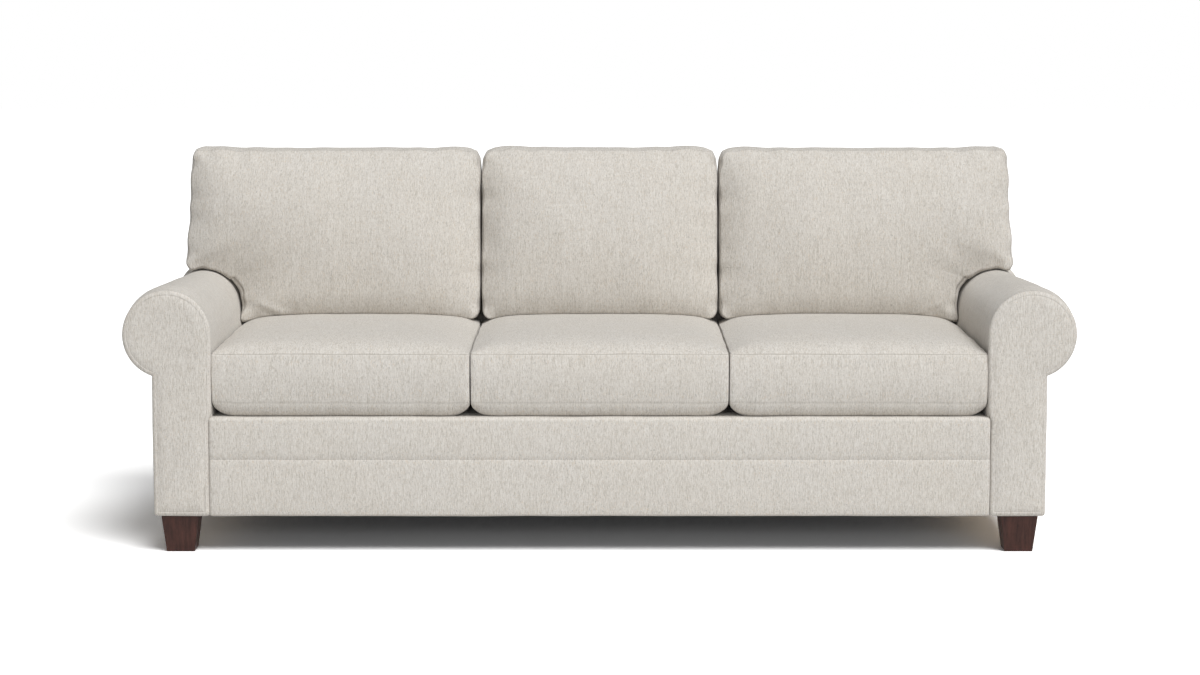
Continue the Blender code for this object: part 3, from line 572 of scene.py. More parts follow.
def press_seam(bm, plane_co, plane_no, depth=SEAM_DEPTH, width=SEAM_WIDTH, where=lambda place: True):
    """Sews a straight seam: cuts a mesh along a plane and draws the cut in below its sides."""
    plane_co, plane_no = Vector(plane_co), Vector(plane_no).normalized()

    def away(place):
        return abs((place - plane_co).dot(plane_no))

    for offset in (-width, 0, width):
        near = [face for face in bm.faces if away(face.calc_center_median()) < 5 * width]
        geom = set(near)
        for face in near:
            geom.update(face.edges)
            geom.update(face.verts)
        place = plane_co + plane_no * offset
        bmesh.ops.bisect_plane(bm, geom=list(geom), plane_co=place, plane_no=plane_no, dist=NEAR)
    bm.normal_update()
    for vertex in bm.verts:
        gap = away(vertex.co)
        if gap < width * 0.9 and where(vertex.co):
            vertex.co -= vertex.normal * depth * (1 - gap / width)


bm = remeshed(cad_copy("inside_back"), BACK_VOXEL)
for _ in range(BACK_SMOOTHING):
    axes = {"use_axis_x": True, "use_axis_y": True, "use_axis_z": True}
    bmesh.ops.smooth_vert(bm, verts=bm.verts, factor=0.5, **axes)
low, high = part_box("inside_back")
for side in (-1, 1):
    seam_place = (side * (high.x - END_SEAM_INSET), 0, 0)
    press_seam(bm, seam_place, (1, 0, 0), where=lambda place: place.z > high.z - END_SEAM_LENGTH)
for vertex in bm.verts:
    rumple(vertex, *INSIDE_BACK_RUMPLE)
inside_back = settle(keep("inside_back_cover", bm, weave), "inside_back")


# Outside back. A flat panel of fabric over board closes the rear, from the foot of the frame to
# the top, and covers the rear ends of both rolls. It leans, and its edge is sewn close all round.
PANEL_CELL = 0.045
BACK_PANEL_EDGE = 0.0045
BACK_PANEL_SWELL = 0.0010
BACK_PANEL_CORNER = 0.018
PANEL_SEAM_PROFILE = ((0.0012, 0.0003), (0.0022, -0.0006), (0.0032, 0.0))
PANEL_SWELL_INSET = 0.022
PANEL_EDGE_STEPS = 5
LEAST_CORNER = 0.0005
OUTSIDE_BACK_RUMPLE = (0.2, 0.0016)
REAR_LEAN = math.radians(5.0)
ROLL_STEPS = 44

arm_low, arm_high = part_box("arm_pad_right")
roll_radius = (arm_high.x - arm_low.x) / 2
roll_x = arm_low.x + roll_radius
roll_z = arm_high.z - roll_radius
outer_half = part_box("outside_arm_panel_right")[1].x
underside = -math.acos((outer_half - roll_x) / roll_radius)


def mirrored(outline):
    return [(-across, up) for across, up in reversed(outline)]


def sewn_panel(bm, outline_at, place, depth, edge, swell):
    """Fabric over a padded board. outline_at gives the outline at an inset, and place turns its
    points and a height above the board's back into a place. Loops at growing insets make the
    wall, the rounded edge, a seam just inside it and the slight swell of the middle."""
    turns = [math.pi / 2 * k / PANEL_EDGE_STEPS for k in range(1, PANEL_EDGE_STEPS + 1)]
    profile = [(0.0, 0.0), (0.0, depth - edge)]
    profile += [(edge * (1 - math.cos(turn)), depth - edge * (1 - math.sin(turn))) for turn in turns]
    profile += [(edge + inset, depth + rise) for inset, rise in PANEL_SEAM_PROFILE]
    profile.append((edge + PANEL_SWELL_INSET, depth + swell))
    before = None
    for inset, height in profile:
        corners = [bm.verts.new(place(first, second, height)) for first, second in outline_at(inset)]
        loop = [bm.edges.new(pair) for pair in zip(corners, corners[1:] + corners[:1])]
        if before:
            bmesh.ops.bridge_loops(bm, edges=before + loop)
        else:
            bmesh.ops.edgeloop_fill(bm, edges=loop)
        before = loop
    bmesh.ops.edgeloop_fill(bm, edges=before)
    bmesh.ops.recalc_face_normals(bm, faces=bm.faces)


low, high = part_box("outside_back")


def back_outline(inset):
    radius = roll_radius - inset
    edge_x = outer_half - inset
    turn = math.acos((edge_x - roll_x) / radius)
    corner = max(BACK_PANEL_CORNER - inset, LEAST_CORNER)
    right = [
        (edge_x, low.z + inset),
        *arc((roll_x, roll_z), radius, -turn, turn, ROLL_STEPS),
        *arc((edge_x - corner, high.z - inset - corner), corner, 0, math.pi / 2, 6),
    ]
    return mirrored(right) + right


bm = bmesh.new()
lean = math.tan(REAR_LEAN)
depth = (high.y - low.y) - (high.z - low.z) * lean
place = lambda x, z, out: (x, low.y + out, z)
sewn_panel(bm, back_outline, place, depth, BACK_PANEL_EDGE, BACK_PANEL_SWELL)
slice_up(bm, (PANEL_CELL, None, PANEL_CELL))
bm.normal_update()
for vertex in bm.verts:
    rumple(vertex, *OUTSIDE_BACK_RUMPLE)
    vertex.co.y += (vertex.co.z - low.z) * lean
outside_back = settle(keep("outside_back_cover", bm, weave), "outside_back")


# Arm pads. Foam and fabric go up the inside of each arm and round its roll, to the tuck under
# the outside. The fabric runs round the arm, so its slubs do too. It swells behind the facing,
# slackens towards the rear, and is full again on the roll's inner side, under the back cushion.
ARM_PAD = 0.0135
ARM_CELL = 0.014
ARM_FRONT_EDGE = 0.004
ARM_END = 0.012
ARM_FULL = 0.0100
ARM_SLACK = 0.0180
ARM_LEAST = 0.0030
ARM_SWELL_SHARE = 0.10
ARM_UNDER_BACK = 0.79
ARM_FILL_REACH = 0.12
ARM_RUMPLE = (0.12, 0.0016)
SIDES = {"left": -1, "right": 1}

# Round the roll, each is its first value plus its second times how far the cloth faces up and out.
FULL_ROUND_ROLL = (0.5, 0.75)
SLACK_ROUND_ROLL = (0.85, 0.45)

# Under the back, cloth that faces out by the first or more isn't filled. What faces out less by
# the second is filled in full.
FILL_ROUND_ROLL = (0.48, 0.3)

weave_round_arm = oatmeal_weave("oatmeal_weave_round_arm", round_the_arm=True)
rear_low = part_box("outside_back")[0]


def rear_of(height):
    """How far back the outside back panel starts at this height."""
    return rear_low.y + (height - rear_low.z) * lean


def reach_rear(bm, front, rear):
    """Slants what was drawn straight back, so that it ends along the outside back."""
    for vertex in bm.verts:
        share = (vertex.co.y - front) / (rear - front)
        vertex.co.y += share * (rear_of(vertex.co.z) - rear)


def puff(distance, reach):
    """How far padding has risen at a distance from its edge: 0 there, and 1 at its reach."""
    return 1 - (1 - min(distance / reach, 1)) ** 2


arm_pads = {}
for side_name, side in SIDES.items():
    low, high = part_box("arm_pad_" + side_name)
    outline = [
        (arm_low.x, low.z),
        *[(arm_low.x, low.z + (roll_z - low.z) * k / 24) for k in range(1, 24)],
        *arc((roll_x, roll_z), roll_radius, math.pi, underside, ROLL_STEPS),
        *arc((roll_x, roll_z), roll_radius - ARM_PAD, underside, math.pi, ROLL_STEPS),
        (arm_low.x + ARM_PAD, low.z),
    ]
    bm = bmesh.new()
    face = outline_face(bm, outline, lambda x, z: (side * x, low.y, z))
    rear = rear_of(low.z)
    draw_out(bm, face, (0, 1, 0), cut_lengths(rear - low.y, ARM_CELL, ARM_END))
    round_edges(bm, list(face.edges), ARM_FRONT_EDGE)
    reach_rear(bm, low.y, rear)
    bmesh.ops.recalc_face_normals(bm, faces=bm.faces)
    bm.normal_update()
    for vertex in bm.verts:
        place = vertex.co
        from_axis = Vector((place.x - side * roll_x, 0, place.z - roll_z))
        outward = from_axis.normalized() if from_axis.length else from_axis
        share = (place.y - low.y) / (rear - low.y)
        slack = (ARM_FULL + ARM_SLACK) * share
        fullness = ARM_FULL * math.sin(min(share / ARM_SWELL_SHARE, 1) * math.pi / 2)
        over = side * outward.x + outward.z
        fullness *= clamp(FULL_ROUND_ROLL[0] + FULL_ROUND_ROLL[1] * over)
        slack *= clamp(SLACK_ROUND_ROLL[0] + SLACK_ROUND_ROLL[1] * over)
        if from_axis.length > roll_radius - ARM_PAD / 2 and place.z > roll_z - roll_radius / 2:
            filled = puff(max(share - ARM_UNDER_BACK, 0), ARM_FILL_REACH)
            filled *= clamp((FILL_ROUND_ROLL[0] - side * outward.x) / FILL_ROUND_ROLL[1])
            vertex.co -= outward * min(slack - fullness, ARM_PAD - ARM_LEAST) * (1 - filled)
        rumple(vertex, *ARM_RUMPLE)
    pad = settle(keep(f"arm_pad_cover_{side_name}", bm, weave_round_arm), "arm_pad_" + side_name)
    arm_pads[side] = pad


# Outside arm panels. Fabric over board closes each arm's outer side, from the tuck under the
# roll to the foot of the frame. The board's edges are padded, and the bottom is turned under.
SIDE_PANEL_EDGE = 0.0035
SIDE_PANEL_CORNER = 0.004
SIDE_PANEL_SWELL = 0.0008
SIDE_PANEL_RUMPLE = (0.16, 0.0012)


def turn_over(bm, side):
    """Leaves a right-hand piece as it is for side 1, and mirrors it across the sofa for -1."""
    bmesh.ops.scale(bm, vec=(side, 1, 1), verts=bm.verts)
    bmesh.ops.recalc_face_normals(bm, faces=bm.faces)


for side_name, side in SIDES.items():
    low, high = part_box("outside_arm_panel_right")

    def side_outline(inset):
        corner = max(SIDE_PANEL_CORNER - inset, LEAST_CORNER)
        front, foot, top = low.y + inset + corner, low.z + inset + corner, high.z - inset
        return [
            *arc((front, foot), corner, -math.pi, -math.pi / 2, 4),
            *arc((rear_of(foot) - inset - corner, foot), corner, -math.pi / 2, 0, 4),
            (rear_of(top) - inset, top),
            *arc((front, top - corner), corner, math.pi / 2, math.pi, 4),
        ]

    bm = bmesh.new()
    place = lambda y, z, out: (low.x + out, y, z)
    sewn_panel(bm, side_outline, place, high.x - low.x, SIDE_PANEL_EDGE, SIDE_PANEL_SWELL)
    turn_over(bm, side)
    slice_up(bm, (None, PANEL_CELL, PANEL_CELL))
    bm.normal_update()
    for vertex in bm.verts:
        rumple(vertex, *SIDE_PANEL_RUMPLE)
    panel = settle(keep(f"outside_arm_cover_{side_name}", bm, weave), "outside_arm_panel_" + side_name)


# Arm front panels. The scroll-shaped facing of each arm: fabric over a padded board, with a
# softly rolled edge and a fine seam just inside it, notched where the border laps it.
FACING_EDGE = 0.0085
FACING_CORNER = 0.009
FACING_SWELL = 0.0016
FACING_PROUD = 0.0022
FACING_CELL = 0.02
FACING_RUMPLE = (0.10, 0.0010)
NOTCH_BELOW = 0.010
NOTCH_ABOVE = 0.012

for side_name, side in SIDES.items():
    low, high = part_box("arm_front_panel_right")
    border_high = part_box("front_border")[1]
    notch_x = border_high.x + (arm_low.x - well_half)
    notch_z = border_high.z + (arm_low.x - well_half)

    def scroll_outline(inset):
        corner = max(FACING_CORNER - inset, LEAST_CORNER)
        foot = low.z + inset + corner
        inset -= FACING_PROUD
        radius = roll_radius - inset
        edge_x = outer_half - inset
        tuck = -math.acos((edge_x - roll_x) / radius)
        return [
            *arc((notch_x + inset + FACING_PROUD + corner, foot), corner, -math.pi / 2, -math.pi, 4),
            (notch_x + inset + FACING_PROUD, notch_z - NOTCH_BELOW),
            (arm_low.x + inset + FACING_PROUD, notch_z + NOTCH_ABOVE),
            *arc((roll_x, roll_z), radius, math.pi, tuck, ROLL_STEPS),
            *arc((edge_x - corner, foot), corner, 0, -math.pi / 2, 4),
        ]

    bm = bmesh.new()
    place = lambda x, z, out: (x, high.y - out, z)
    sewn_panel(bm, scroll_outline, place, high.y - low.y, FACING_EDGE, FACING_SWELL)
    turn_over(bm, side)
    slice_up(bm, (FACING_CELL, None, FACING_CELL))
    bm.normal_update()
    for vertex in bm.verts:
        rumple(vertex, *FACING_RUMPLE)
    facing = settle(keep(f"arm_facing_{side_name}", bm, weave), "arm_front_panel_" + side_name)


# Legs. Square tapered blocks of hardwood with slightly eased edges, stained dark walnut and
# given a thin satin lacquer. The grain runs down them, with fine open pores.
WALNUT_DARK = (0.022, 0.0085, 0.0065)
WALNUT_MID = (0.047, 0.0185, 0.0140)
WALNUT_RED = (0.070, 0.0270, 0.0200)

walnut = new_material("walnut_stain", 0.42)
set_shader(walnut, Coat_Weight=0.05, Coat_Roughness=0.30, Specular_IOR_Level=0.18)
place = object_place(walnut)
pores = stretched_noise(walnut, place, (900.0, 900.0, 24.0), 3.0)
bands = stretched_noise(walnut, place, (130.0, 130.0, 5.0), 4.0)
tone = maths(walnut, "MULTIPLY", maths(walnut, "MULTIPLY_ADD", pores, 0.45, bands), 0.69)
stain = ramp(walnut, tone, (0.34, WALNUT_DARK), (0.50, WALNUT_MID), (0.66, WALNUT_RED))
feed_shader(walnut, Base_Color=stain, Normal=bump(walnut, pores, 0.25, 0.0002))
give(walnut, "leg_front_", "leg_rear_")


# Seat cushions. Three loose box cushions of foam wrapped in fibre. Each has a crowned top and
# bottom panel sewn to a band, so there are two seams round it, and its corners are slightly round.
CUSHION_CELL = 0.0135
SEAM_CELL = 0.0026
SEAT_BAND = 0.1165
SEAT_CROWNS = (0.031, 0.038)
SEAT_REACHES = (0.240, 0.032)
SEAT_CORNER = 0.014
SEAT_BULGE = 0.0055
SEAT_WAIST = 0.001
SEAT_PUCKER = 0.0009
SEAT_PUCKER_WAVE = 0.09
SEAT_PUCKER_REACH = 0.05
SEAT_PUCKER_TURN = 0.4
SEAT_RUMPLE = (0.09, 0.0012)
SEAT_FOOT = 0.038
SEAT_PRESSED = 0.012
SEAT_DROOP = 0.0045
NEIGHBOUR_GAP = 0.0013
SEAT_OUTLINE_CAP = 0.0008
SWELL_CAP = 0.024
SWELL_REACH = 0.08
SWELL_FRAMES = 20
SIDE_WAIST = 0.001
WAIST_REACH = 0.25
UNEVEN_SCALE = 4
UNEVEN_SHARE = 0.05
CALM_REACH = 0.20
CUSHION_SEAM = 0.0022


def stations(start, end):
    """Places across a cushion, an even cell apart, with one more close inside each end."""
    count = max(round((end - start - 2 * SEAM_CELL) / CUSHION_CELL), 1)
    inner = [start + SEAM_CELL + (end - start - 2 * SEAM_CELL) * k / count for k in range(count + 1)]
    return [start, *inner, end]


class Rim:
    """The outline of a cushion that lies flat: its corners in order, anticlockwise, with the
    cushion to the left. It tells how far in a place is, and which way is out."""

    def __init__(self, corners):
        self.corners = [Vector(corner) for corner in corners]
        self.sides = list(zip(self.corners, self.corners[1:] + self.corners[:1]))
        self.walls = [[side] for side in self.sides]
        self.hollows = []
        for wall, following in zip(list(self.walls), self.walls[1:] + self.walls[:1]):
            (start, corner), (_, end) = wall[0], following[-1]
            if (corner - start).cross(end - corner) < 0:
                wall += following
                self.walls.remove(following)
                self.hollows.append(corner)

    def gap(self, place, side):
        """The distance to a side, the way out there, and how far along it."""
        start, end = side
        run = end - start
        along = clamp((place - start).dot(run) / run.length, 0, run.length)
        gap = (place - start - run.normalized() * along).length
        return gap, Vector((run.y, -run.x)).normalized(), along, run.length

    def nearest(self, place):
        """The distance in from the nearest side, the way out there, and how far along it."""
        return min((self.gap(place, side) for side in self.sides), key=lambda found: round(found[0], 5))

    def crown(self, place, reach, edge, sideways):
        """How far up the crown a place is: its rises from the walls, multiplied together. The
        lower edge is, the rounder the crown is there. At a cushion's sides, the reach is
        sideways times as long."""
        rises = []
        for wall in self.walls:
            gap = min(self.gap(place, side)[0] for side in wall)
            start, end = wall[0]
            stretch = sideways if abs(end.x - start.x) < NEAR else 1
            rises.append(puff(gap, reach * stretch) ** edge)
        return math.prod(rises)

    def ways_out(self, place):
        """The ways out at a place on the rim: one, or two at a corner."""
        found = [self.gap(place, side) for side in self.sides]
        return [way for gap, way, _, _ in found if gap < NEAR]

    def calm(self, place):
        """0 at a notch's inner corner, where the cloth is smooth, and 1 well away from it."""
        return math.prod(puff((place - hollow).length, CALM_REACH) ** 2 for hollow in self.hollows)

    def outer_corners(self):
        """The corners that stick out, each with its two ways out."""
        found = []
        for before, corner, after in zip(
            self.corners[-1:] + self.corners[:-1], self.corners, self.corners[1:] + self.corners[:1]
        ):
            if (corner - before).cross(after - corner) > 0:
                found.append((corner, self.ways_out(corner)))
        return found


def rounded_place(place, corner, ways, radius):
    """Moves a place near a square corner as if the corner were round."""
    inset = [radius - (corner - place).dot(way) for way in ways]
    first, second = (clamp(value / radius) for value in inset)
    if first <= 0 or second <= 0:
        return place
    moved = (first * math.sqrt(1 - second**2 / 2), second * math.sqrt(1 - first**2 / 2))
    return place + ways[0] * (moved[0] - first) * radius + ways[1] * (moved[1] - second) * radius


def cushion_cage(name, columns, rows, in_notch, rim, form, seed):
    """A cushion before it is filled: two crowned panels and the band between them.

    It lies flat. form gives the band, corner, bulge and waist, and for the upper and the lower
    panel the crown, its reach, its edge and sideways as Rim.crown has them, and how much seam
    there is: how deep the seam is drawn in and how much shade is painted in it. The mesh keeps,
    at each point, how much seam there is, and where the point was on the flat pattern.
    """
    band = form["band"]
    levels = [-band / 2, -band / 2 + SEAM_CELL]
    middle = round((band - 2 * SEAM_CELL) / CUSHION_CELL)
    levels += [levels[1] + (band - 2 * SEAM_CELL) * k / middle for k in range(1, middle + 1)]
    levels.append(band / 2)
    bm = bmesh.new()
    bmesh.ops.create_grid(bm, x_segments=len(columns) - 1, y_segments=len(rows) - 1, size=0.5)
    for vertex in bm.verts:
        column = round((vertex.co.x + 0.5) * (len(columns) - 1))
        row = round((vertex.co.y + 0.5) * (len(rows) - 1))
        vertex.co = (columns[column], rows[row], levels[0])
    notch = [face for face in bm.faces if in_notch(face.calc_center_median())]
    bmesh.ops.delete(bm, geom=notch, context="FACES")
    faces = bm.faces[:]
    for number, (below, level) in enumerate(zip(levels, levels[1:])):
        raised = extrude(bm, faces, (0, 0, level - below))
        if number:
            bmesh.ops.delete(bm, geom=faces, context="FACES")
        faces = raised

    seam = bm.verts.layers.float.new("seam")
    flat = bm.verts.layers.float_vector.new("flat")
    inset = bm.verts.layers.float.new("inset")
    corners = rim.outer_corners()
    for vertex in bm.verts:
        place = Vector((vertex.co.x, vertex.co.y))
        height = vertex.co.z
        inside, _, _, _ = rim.nearest(place)
        vertex[flat] = vertex.co
        vertex[inset] = inside
        lift = 0.0
        if abs(height) > band / 2 - NEAR:
            upper = height > 0
            keys = ("crowns", "reaches", "edges", "sideways", "seams")
            crown, reach, edge, sideways, sewn = (form[key][not upper] for key in keys)
            spot = Vector((place.x * UNEVEN_SCALE, place.y * UNEVEN_SCALE, seed))
            uneven = 1 + UNEVEN_SHARE * noise.noise(spot)
            lift = crown * rim.crown(place, reach, edge, sideways) * uneven * (1 if upper else -1)
            if inside < NEAR:
                vertex[seam] = sewn
        moved = place
        if inside < NEAR:
            from_corner = min((place - corner).length for corner, _ in corners)
            bulge = form["bulge"] * (1 - (2 * height / band) ** 2)
            for way in rim.ways_out(place):
                waist = form["waist"] if way.y > 0.5 else SIDE_WAIST
                moved = moved + way * (bulge - waist * puff(from_corner, WAIST_REACH))
        for corner, ways in corners:
            moved = rounded_place(moved, corner, ways, form["corner"](corner))
        vertex.co = (moved.x, moved.y, height + lift)
    bmesh.ops.recalc_face_normals(bm, faces=bm.faces)
    return put(name, mesh_of(name, bm))


def fill_cushions(cages, pressure, stiffness, outline_cap):
    """Swells cushions as cloth under pressure, all in one run, and keeps what each becomes.
    No point moves further than the caps: the outline is cut to size and the lower panel is
    pressed on what it lies on, so these hardly move."""
    for cage in cages:
        cloth = cage.modifiers.new("filling", "CLOTH").settings
        cloth.quality = 5
        cloth.mass = 0.3
        cloth.tension_stiffness = cloth.compression_stiffness = stiffness
        cloth.shear_stiffness = stiffness * 0.4
        cloth.bending_stiffness = 0.6
        cloth.air_damping = 1.0
        cloth.use_pressure = True
        cloth.uniform_pressure_force = pressure
        cloth.effector_weights.gravity = 0.0
        cage.modifiers["filling"].point_cache.frame_start = 1
        cage.modifiers["filling"].point_cache.frame_end = SWELL_FRAMES
    scene = bpy.context.scene
    for step in range(1, SWELL_FRAMES + 1):
        scene.frame_set(step)
    graph = bpy.context.evaluated_depsgraph_get()
    swollen = [[vertex.co.copy() for vertex in cage.evaluated_get(graph).data.vertices] for cage in cages]
    for cage, places in zip(cages, swollen):
        cage.modifiers.clear()
        insets = [item.value for item in cage.data.attributes["inset"].data]
        for vertex, place, inset in zip(cage.data.vertices, places, insets):
            rise = outline_cap
            if vertex.co.z > 0:
                rise += (SWELL_CAP - outline_cap) * puff(inset, SWELL_REACH)
            for axis, cap in enumerate((outline_cap, outline_cap, rise)):
                vertex.co[axis] += clamp(place[axis] - vertex.co[axis], -cap, cap)
    scene.frame_set(1)


def between(value, marks, targets):
    """Moves a value with its marks: each stretch between two marks fits the same two targets."""
    for (start, end), (first, last) in zip(zip(marks, marks[1:]), zip(targets, targets[1:])):
        if value <= end or end == marks[-1]:
            return first + (value - start) / (end - start) * (last - first)


def fit_cage(cage, low, high, seams, form):
    """Sizes a cushion to the box between two corners, with its seams at these two heights. The
    lower panel keeps the depth it was cut to, and goes flat where it would go below the box."""
    sewn = [item.value > 0.5 for item in cage.data.attributes["seam"].data]
    places = [vertex.co.copy() for vertex in cage.data.vertices]
    for axis in range(3):
        values = [place[axis] for place in places]
        marks, targets = [min(values), max(values)], [low[axis], high[axis]]
        if axis == 2:
            for upper, seam_height in ((False, seams[0]), (True, seams[1])):
                row = [value for value, on in zip(values, sewn) if on and (value > 0) == upper]
                marks.insert(-1, sum(row) / len(row))
                targets.insert(-1, seam_height)
            marks[0] = marks[1] - form["crowns"][1]
        for vertex, value in zip(cage.data.vertices, values):
            vertex.co[axis] = between(max(value, marks[0]), marks, targets)


def press_flat(bm, axis, limit, soft=0.004):
    """Flattens a cushion where it leans on a plane across an axis, with a soft edge to it."""
    way = 1 if limit > 0 else -1
    for vertex in bm.verts:
        over = way * vertex.co[axis] - (abs(limit) - soft)
        if over > 0:
            vertex.co[axis] = way * (abs(limit) - soft * math.exp(-over / soft))


def smoothed(cage):
    """The cage after one subdivision, as a bmesh. The cage is removed."""
    modifier = cage.modifiers.new("smooth", "SUBSURF")
    modifier.levels = modifier.render_levels = 1
    graph = bpy.context.evaluated_depsgraph_get()
    graph.update()
    bm = bmesh.new()
    bm.from_mesh(cage.evaluated_get(graph).to_mesh())
    bpy.data.objects.remove(cage, do_unlink=True)
    bm.normal_update()
    return bm


def sew_cushion(bm, depth):
    """Draws the seams in, with a slight ridge beside each. Smoothing left 0.75 on the seam itself
    and 0.5 on the rows beside it."""
    seam = bm.verts.layers.float["seam"]
    for vertex in bm.verts:
        drawn = clamp((vertex[seam] - 0.3) / 0.45)
        vertex.co -= vertex.normal * depth * (1.3 * drawn**2 - 0.3 * drawn)


def pucker(bm, rim, band, amount, wave, reach, turn):
    """Ripples along the rim that die away from each corner, in the seam, panel and band. The
    cloth is smooth in a notch."""
    flat = bm.verts.layers.float_vector["flat"]
    for vertex in bm.verts:
        place = Vector(vertex[flat][:2])
        inside, out, along, length = rim.nearest(place)
        if inside > 3 * reach:
            continue
        from_end = min(along, length - along)
        phase = math.tau * from_end / wave
        ripple = math.cos(phase + turn) + 0.15 * math.sin(phase / 0.57)
        fade = math.exp(-from_end / (2.2 * wave)) * math.exp(-inside / reach) * rim.calm(place)
        up = clamp(2 * vertex[flat][2] / band, -1)
        push = Vector((out.x, out.y, 0.7 * up)) * (0.35 + 0.65 * up**2)
        vertex.co += push * amount * ripple * fade


border_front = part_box("front_border")[0].y


def border_drop(place_y):
    """How far the border's rounded top edge lies below its flat top, this far forward."""
    over = max(border_front + BORDER_TOP_RADIUS - place_y, 0)
    return BORDER_TOP_RADIUS - math.sqrt(max(BORDER_TOP_RADIUS**2 - over**2, 0))


SEATS = {"left": -1, "centre": 0, "right": 1}
seat_form = {
    "band": SEAT_BAND,
    "crowns": SEAT_CROWNS,
    "reaches": SEAT_REACHES,
    "edges": (0.85, 0.5),
    "sideways": (1, 2.4),
    # Seam amounts, upper then lower: how deep each seam is drawn in and how much shade is painted in it.
    "seams": (1.0, 0.56),
    "corner": lambda corner: SEAT_CORNER,
    "bulge": SEAT_BULGE,
    "waist": SEAT_WAIST,
}
seat_cages, seat_rims = {}, {}
for name, seat in SEATS.items():
    low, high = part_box("seat_cushion_" + name)
    seat_rims[name] = Rim([(low.x, low.y), (high.x, low.y), (high.x, high.y), (low.x, high.y)])
    seat_cages[name] = cushion_cage(
        "seat_cage_" + name,
        stations(low.x, high.x),
        stations(low.y, high.y),
        lambda place: False,
        seat_rims[name],
        seat_form,
        seat * 7.3 + 2.1,
    )
fill_cushions(list(seat_cages.values()), pressure=2.2, stiffness=22.0, outline_cap=SEAT_OUTLINE_CAP)
seat_cushions = {}
for name, cage in seat_cages.items():
    low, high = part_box("seat_cushion_" + name)
    middle = (low.x + high.x) / 2
    wide = (high.x - low.x) / 2 + SEAT_PRESSED
    seams = [low.z + SEAT_FOOT, low.z + SEAT_FOOT + SEAT_BAND]
    foot = low.z - SEAT_DROOP
    fit_cage(cage, (middle - wide, low.y, foot), (middle + wide, high.y, high.z), seams, seat_form)
    bm = smoothed(cage)
    ripples = (SEAT_PUCKER, SEAT_PUCKER_WAVE, SEAT_PUCKER_REACH, SEAT_PUCKER_TURN)
    pucker(bm, seat_rims[name], SEAT_BAND, *ripples)
    for way in (-1, 1):
        bmesh.ops.translate(bm, vec=(-middle, 0, 0), verts=bm.verts)
        press_flat(bm, 0, way * ((high.x - low.x) / 2 + NEIGHBOUR_GAP))
        bmesh.ops.translate(bm, vec=(middle, 0, 0), verts=bm.verts)
    sew_cushion(bm, CUSHION_SEAM)
    for vertex in bm.verts:
        rumple(vertex, *SEAT_RUMPLE)
        vertex.co.z = max(vertex.co.z, low.z - min(SEAT_DROOP, border_drop(vertex.co.y)))
    cushion = keep("seat_cushion_cover_" + name, bm, weave)
    settle(cushion, "seat_cushion_" + name, body="seat_" + name)
    seat_cushions[name] = cushion


# Back cushions. Three loose cushions of blown fibre, softer than the seats. The outer two are
# cut with an ear that hangs over the arm's roll. They lean back, and sag on to the seats.
BACK_RECLINE = math.radians(10.5)
BACK_BAND = 0.118
BACK_CROWNS = (0.056, 0.016)
BACK_REACHES = (0.240, 0.055)
BACK_CORNER = 0.052
BACK_FOOT_CORNER = 0.040
EAR_CORNER = 0.036
EAR_FOOT_CORNER = 0.018
ARM_CORNER = 0.010
BACK_OUTLINE_CAP = 0.0025
BACK_BULGE = 0.007
BACK_WAIST = 0.0065
BACK_PUCKER = 0.0040
BACK_PUCKER_WAVE = 0.086
BACK_PUCKER_REACH = 0.035
BACK_PUCKER_TURN = 0.2
BACK_RUMPLE = (0.10, 0.0024)
EAR_FLARE = 0.013
EAR_FLARE_REACH = 0.16
EAR_FLARE_POWER = 1.6
EAR_DROP = 0.0015
FOLD = ((0.900, 0.545), (0.815, 0.512))
FOLD_HEIGHT = 0.0055
FOLD_OVERRUN = 0.3
FOLD_RIDGE_WIDTH = 0.009
FOLD_VALLEY_WIDTH = 0.006
FOLD_VALLEY_DROP = 0.011
FOLD_VALLEY_SHARE = 0.9
BACK_THICKNESS = 0.200
BACK_REAR_CROWN = 0.016
BACK_PRESSED = 0.005
BACK_FOOT = 0.4945
REST_GAP = 0.0006
BACK_SAG = 0.09
SAG_PROBE = 0.2
ARM_CLEARANCE = 0.0012
ARM_HUG = 0.022


def back_corner(corner):
    """The radius of a corner of a back cushion's outline."""
    over_arm = abs(corner.x) > arm_low.x
    if corner.y > arm_high.z + 0.1:
        return EAR_CORNER if over_arm else BACK_CORNER
    if over_arm:
        return EAR_FOOT_CORNER
    return ARM_CORNER if abs(corner.x) > arm_low.x - 0.01 else BACK_FOOT_CORNER


back_form = {
    "band": BACK_BAND,
    "crowns": BACK_CROWNS,
    "reaches": BACK_REACHES,
    "edges": (1.0, 0.5),
    "sideways": (1, 1),
    # Seam amounts, upper then lower: how deep each seam is drawn in and how much shade is painted in it.
    "seams": (0.86, 1.0),
    "corner": back_corner,
    "bulge": BACK_BULGE,
    "waist": BACK_WAIST,
}


def round_the_roll(place, side):
    """Bends the square notch of a cushion to the roll's curve. The bend dies away from it."""
    across = (roll_x - side * place.x) / roll_radius
    up = (place.y - roll_z) / roll_radius
    if across <= 0 or up <= 0:
        return place
    reach = max(across, up)
    if reach < 0.5 or reach > 2.2:
        return place
    first, second = across / reach, up / reach
    bent = (first * math.sqrt(1 - second**2 / 2), second * math.sqrt(1 - first**2 / 2))
    weight = 1 - puff(max(reach - 1, 0), 1.2)
    moved = (reach * (bent[0] - first) * weight, reach * (bent[1] - second) * weight)
    return place + Vector((-side * moved[0] * roll_radius, moved[1] * roll_radius))


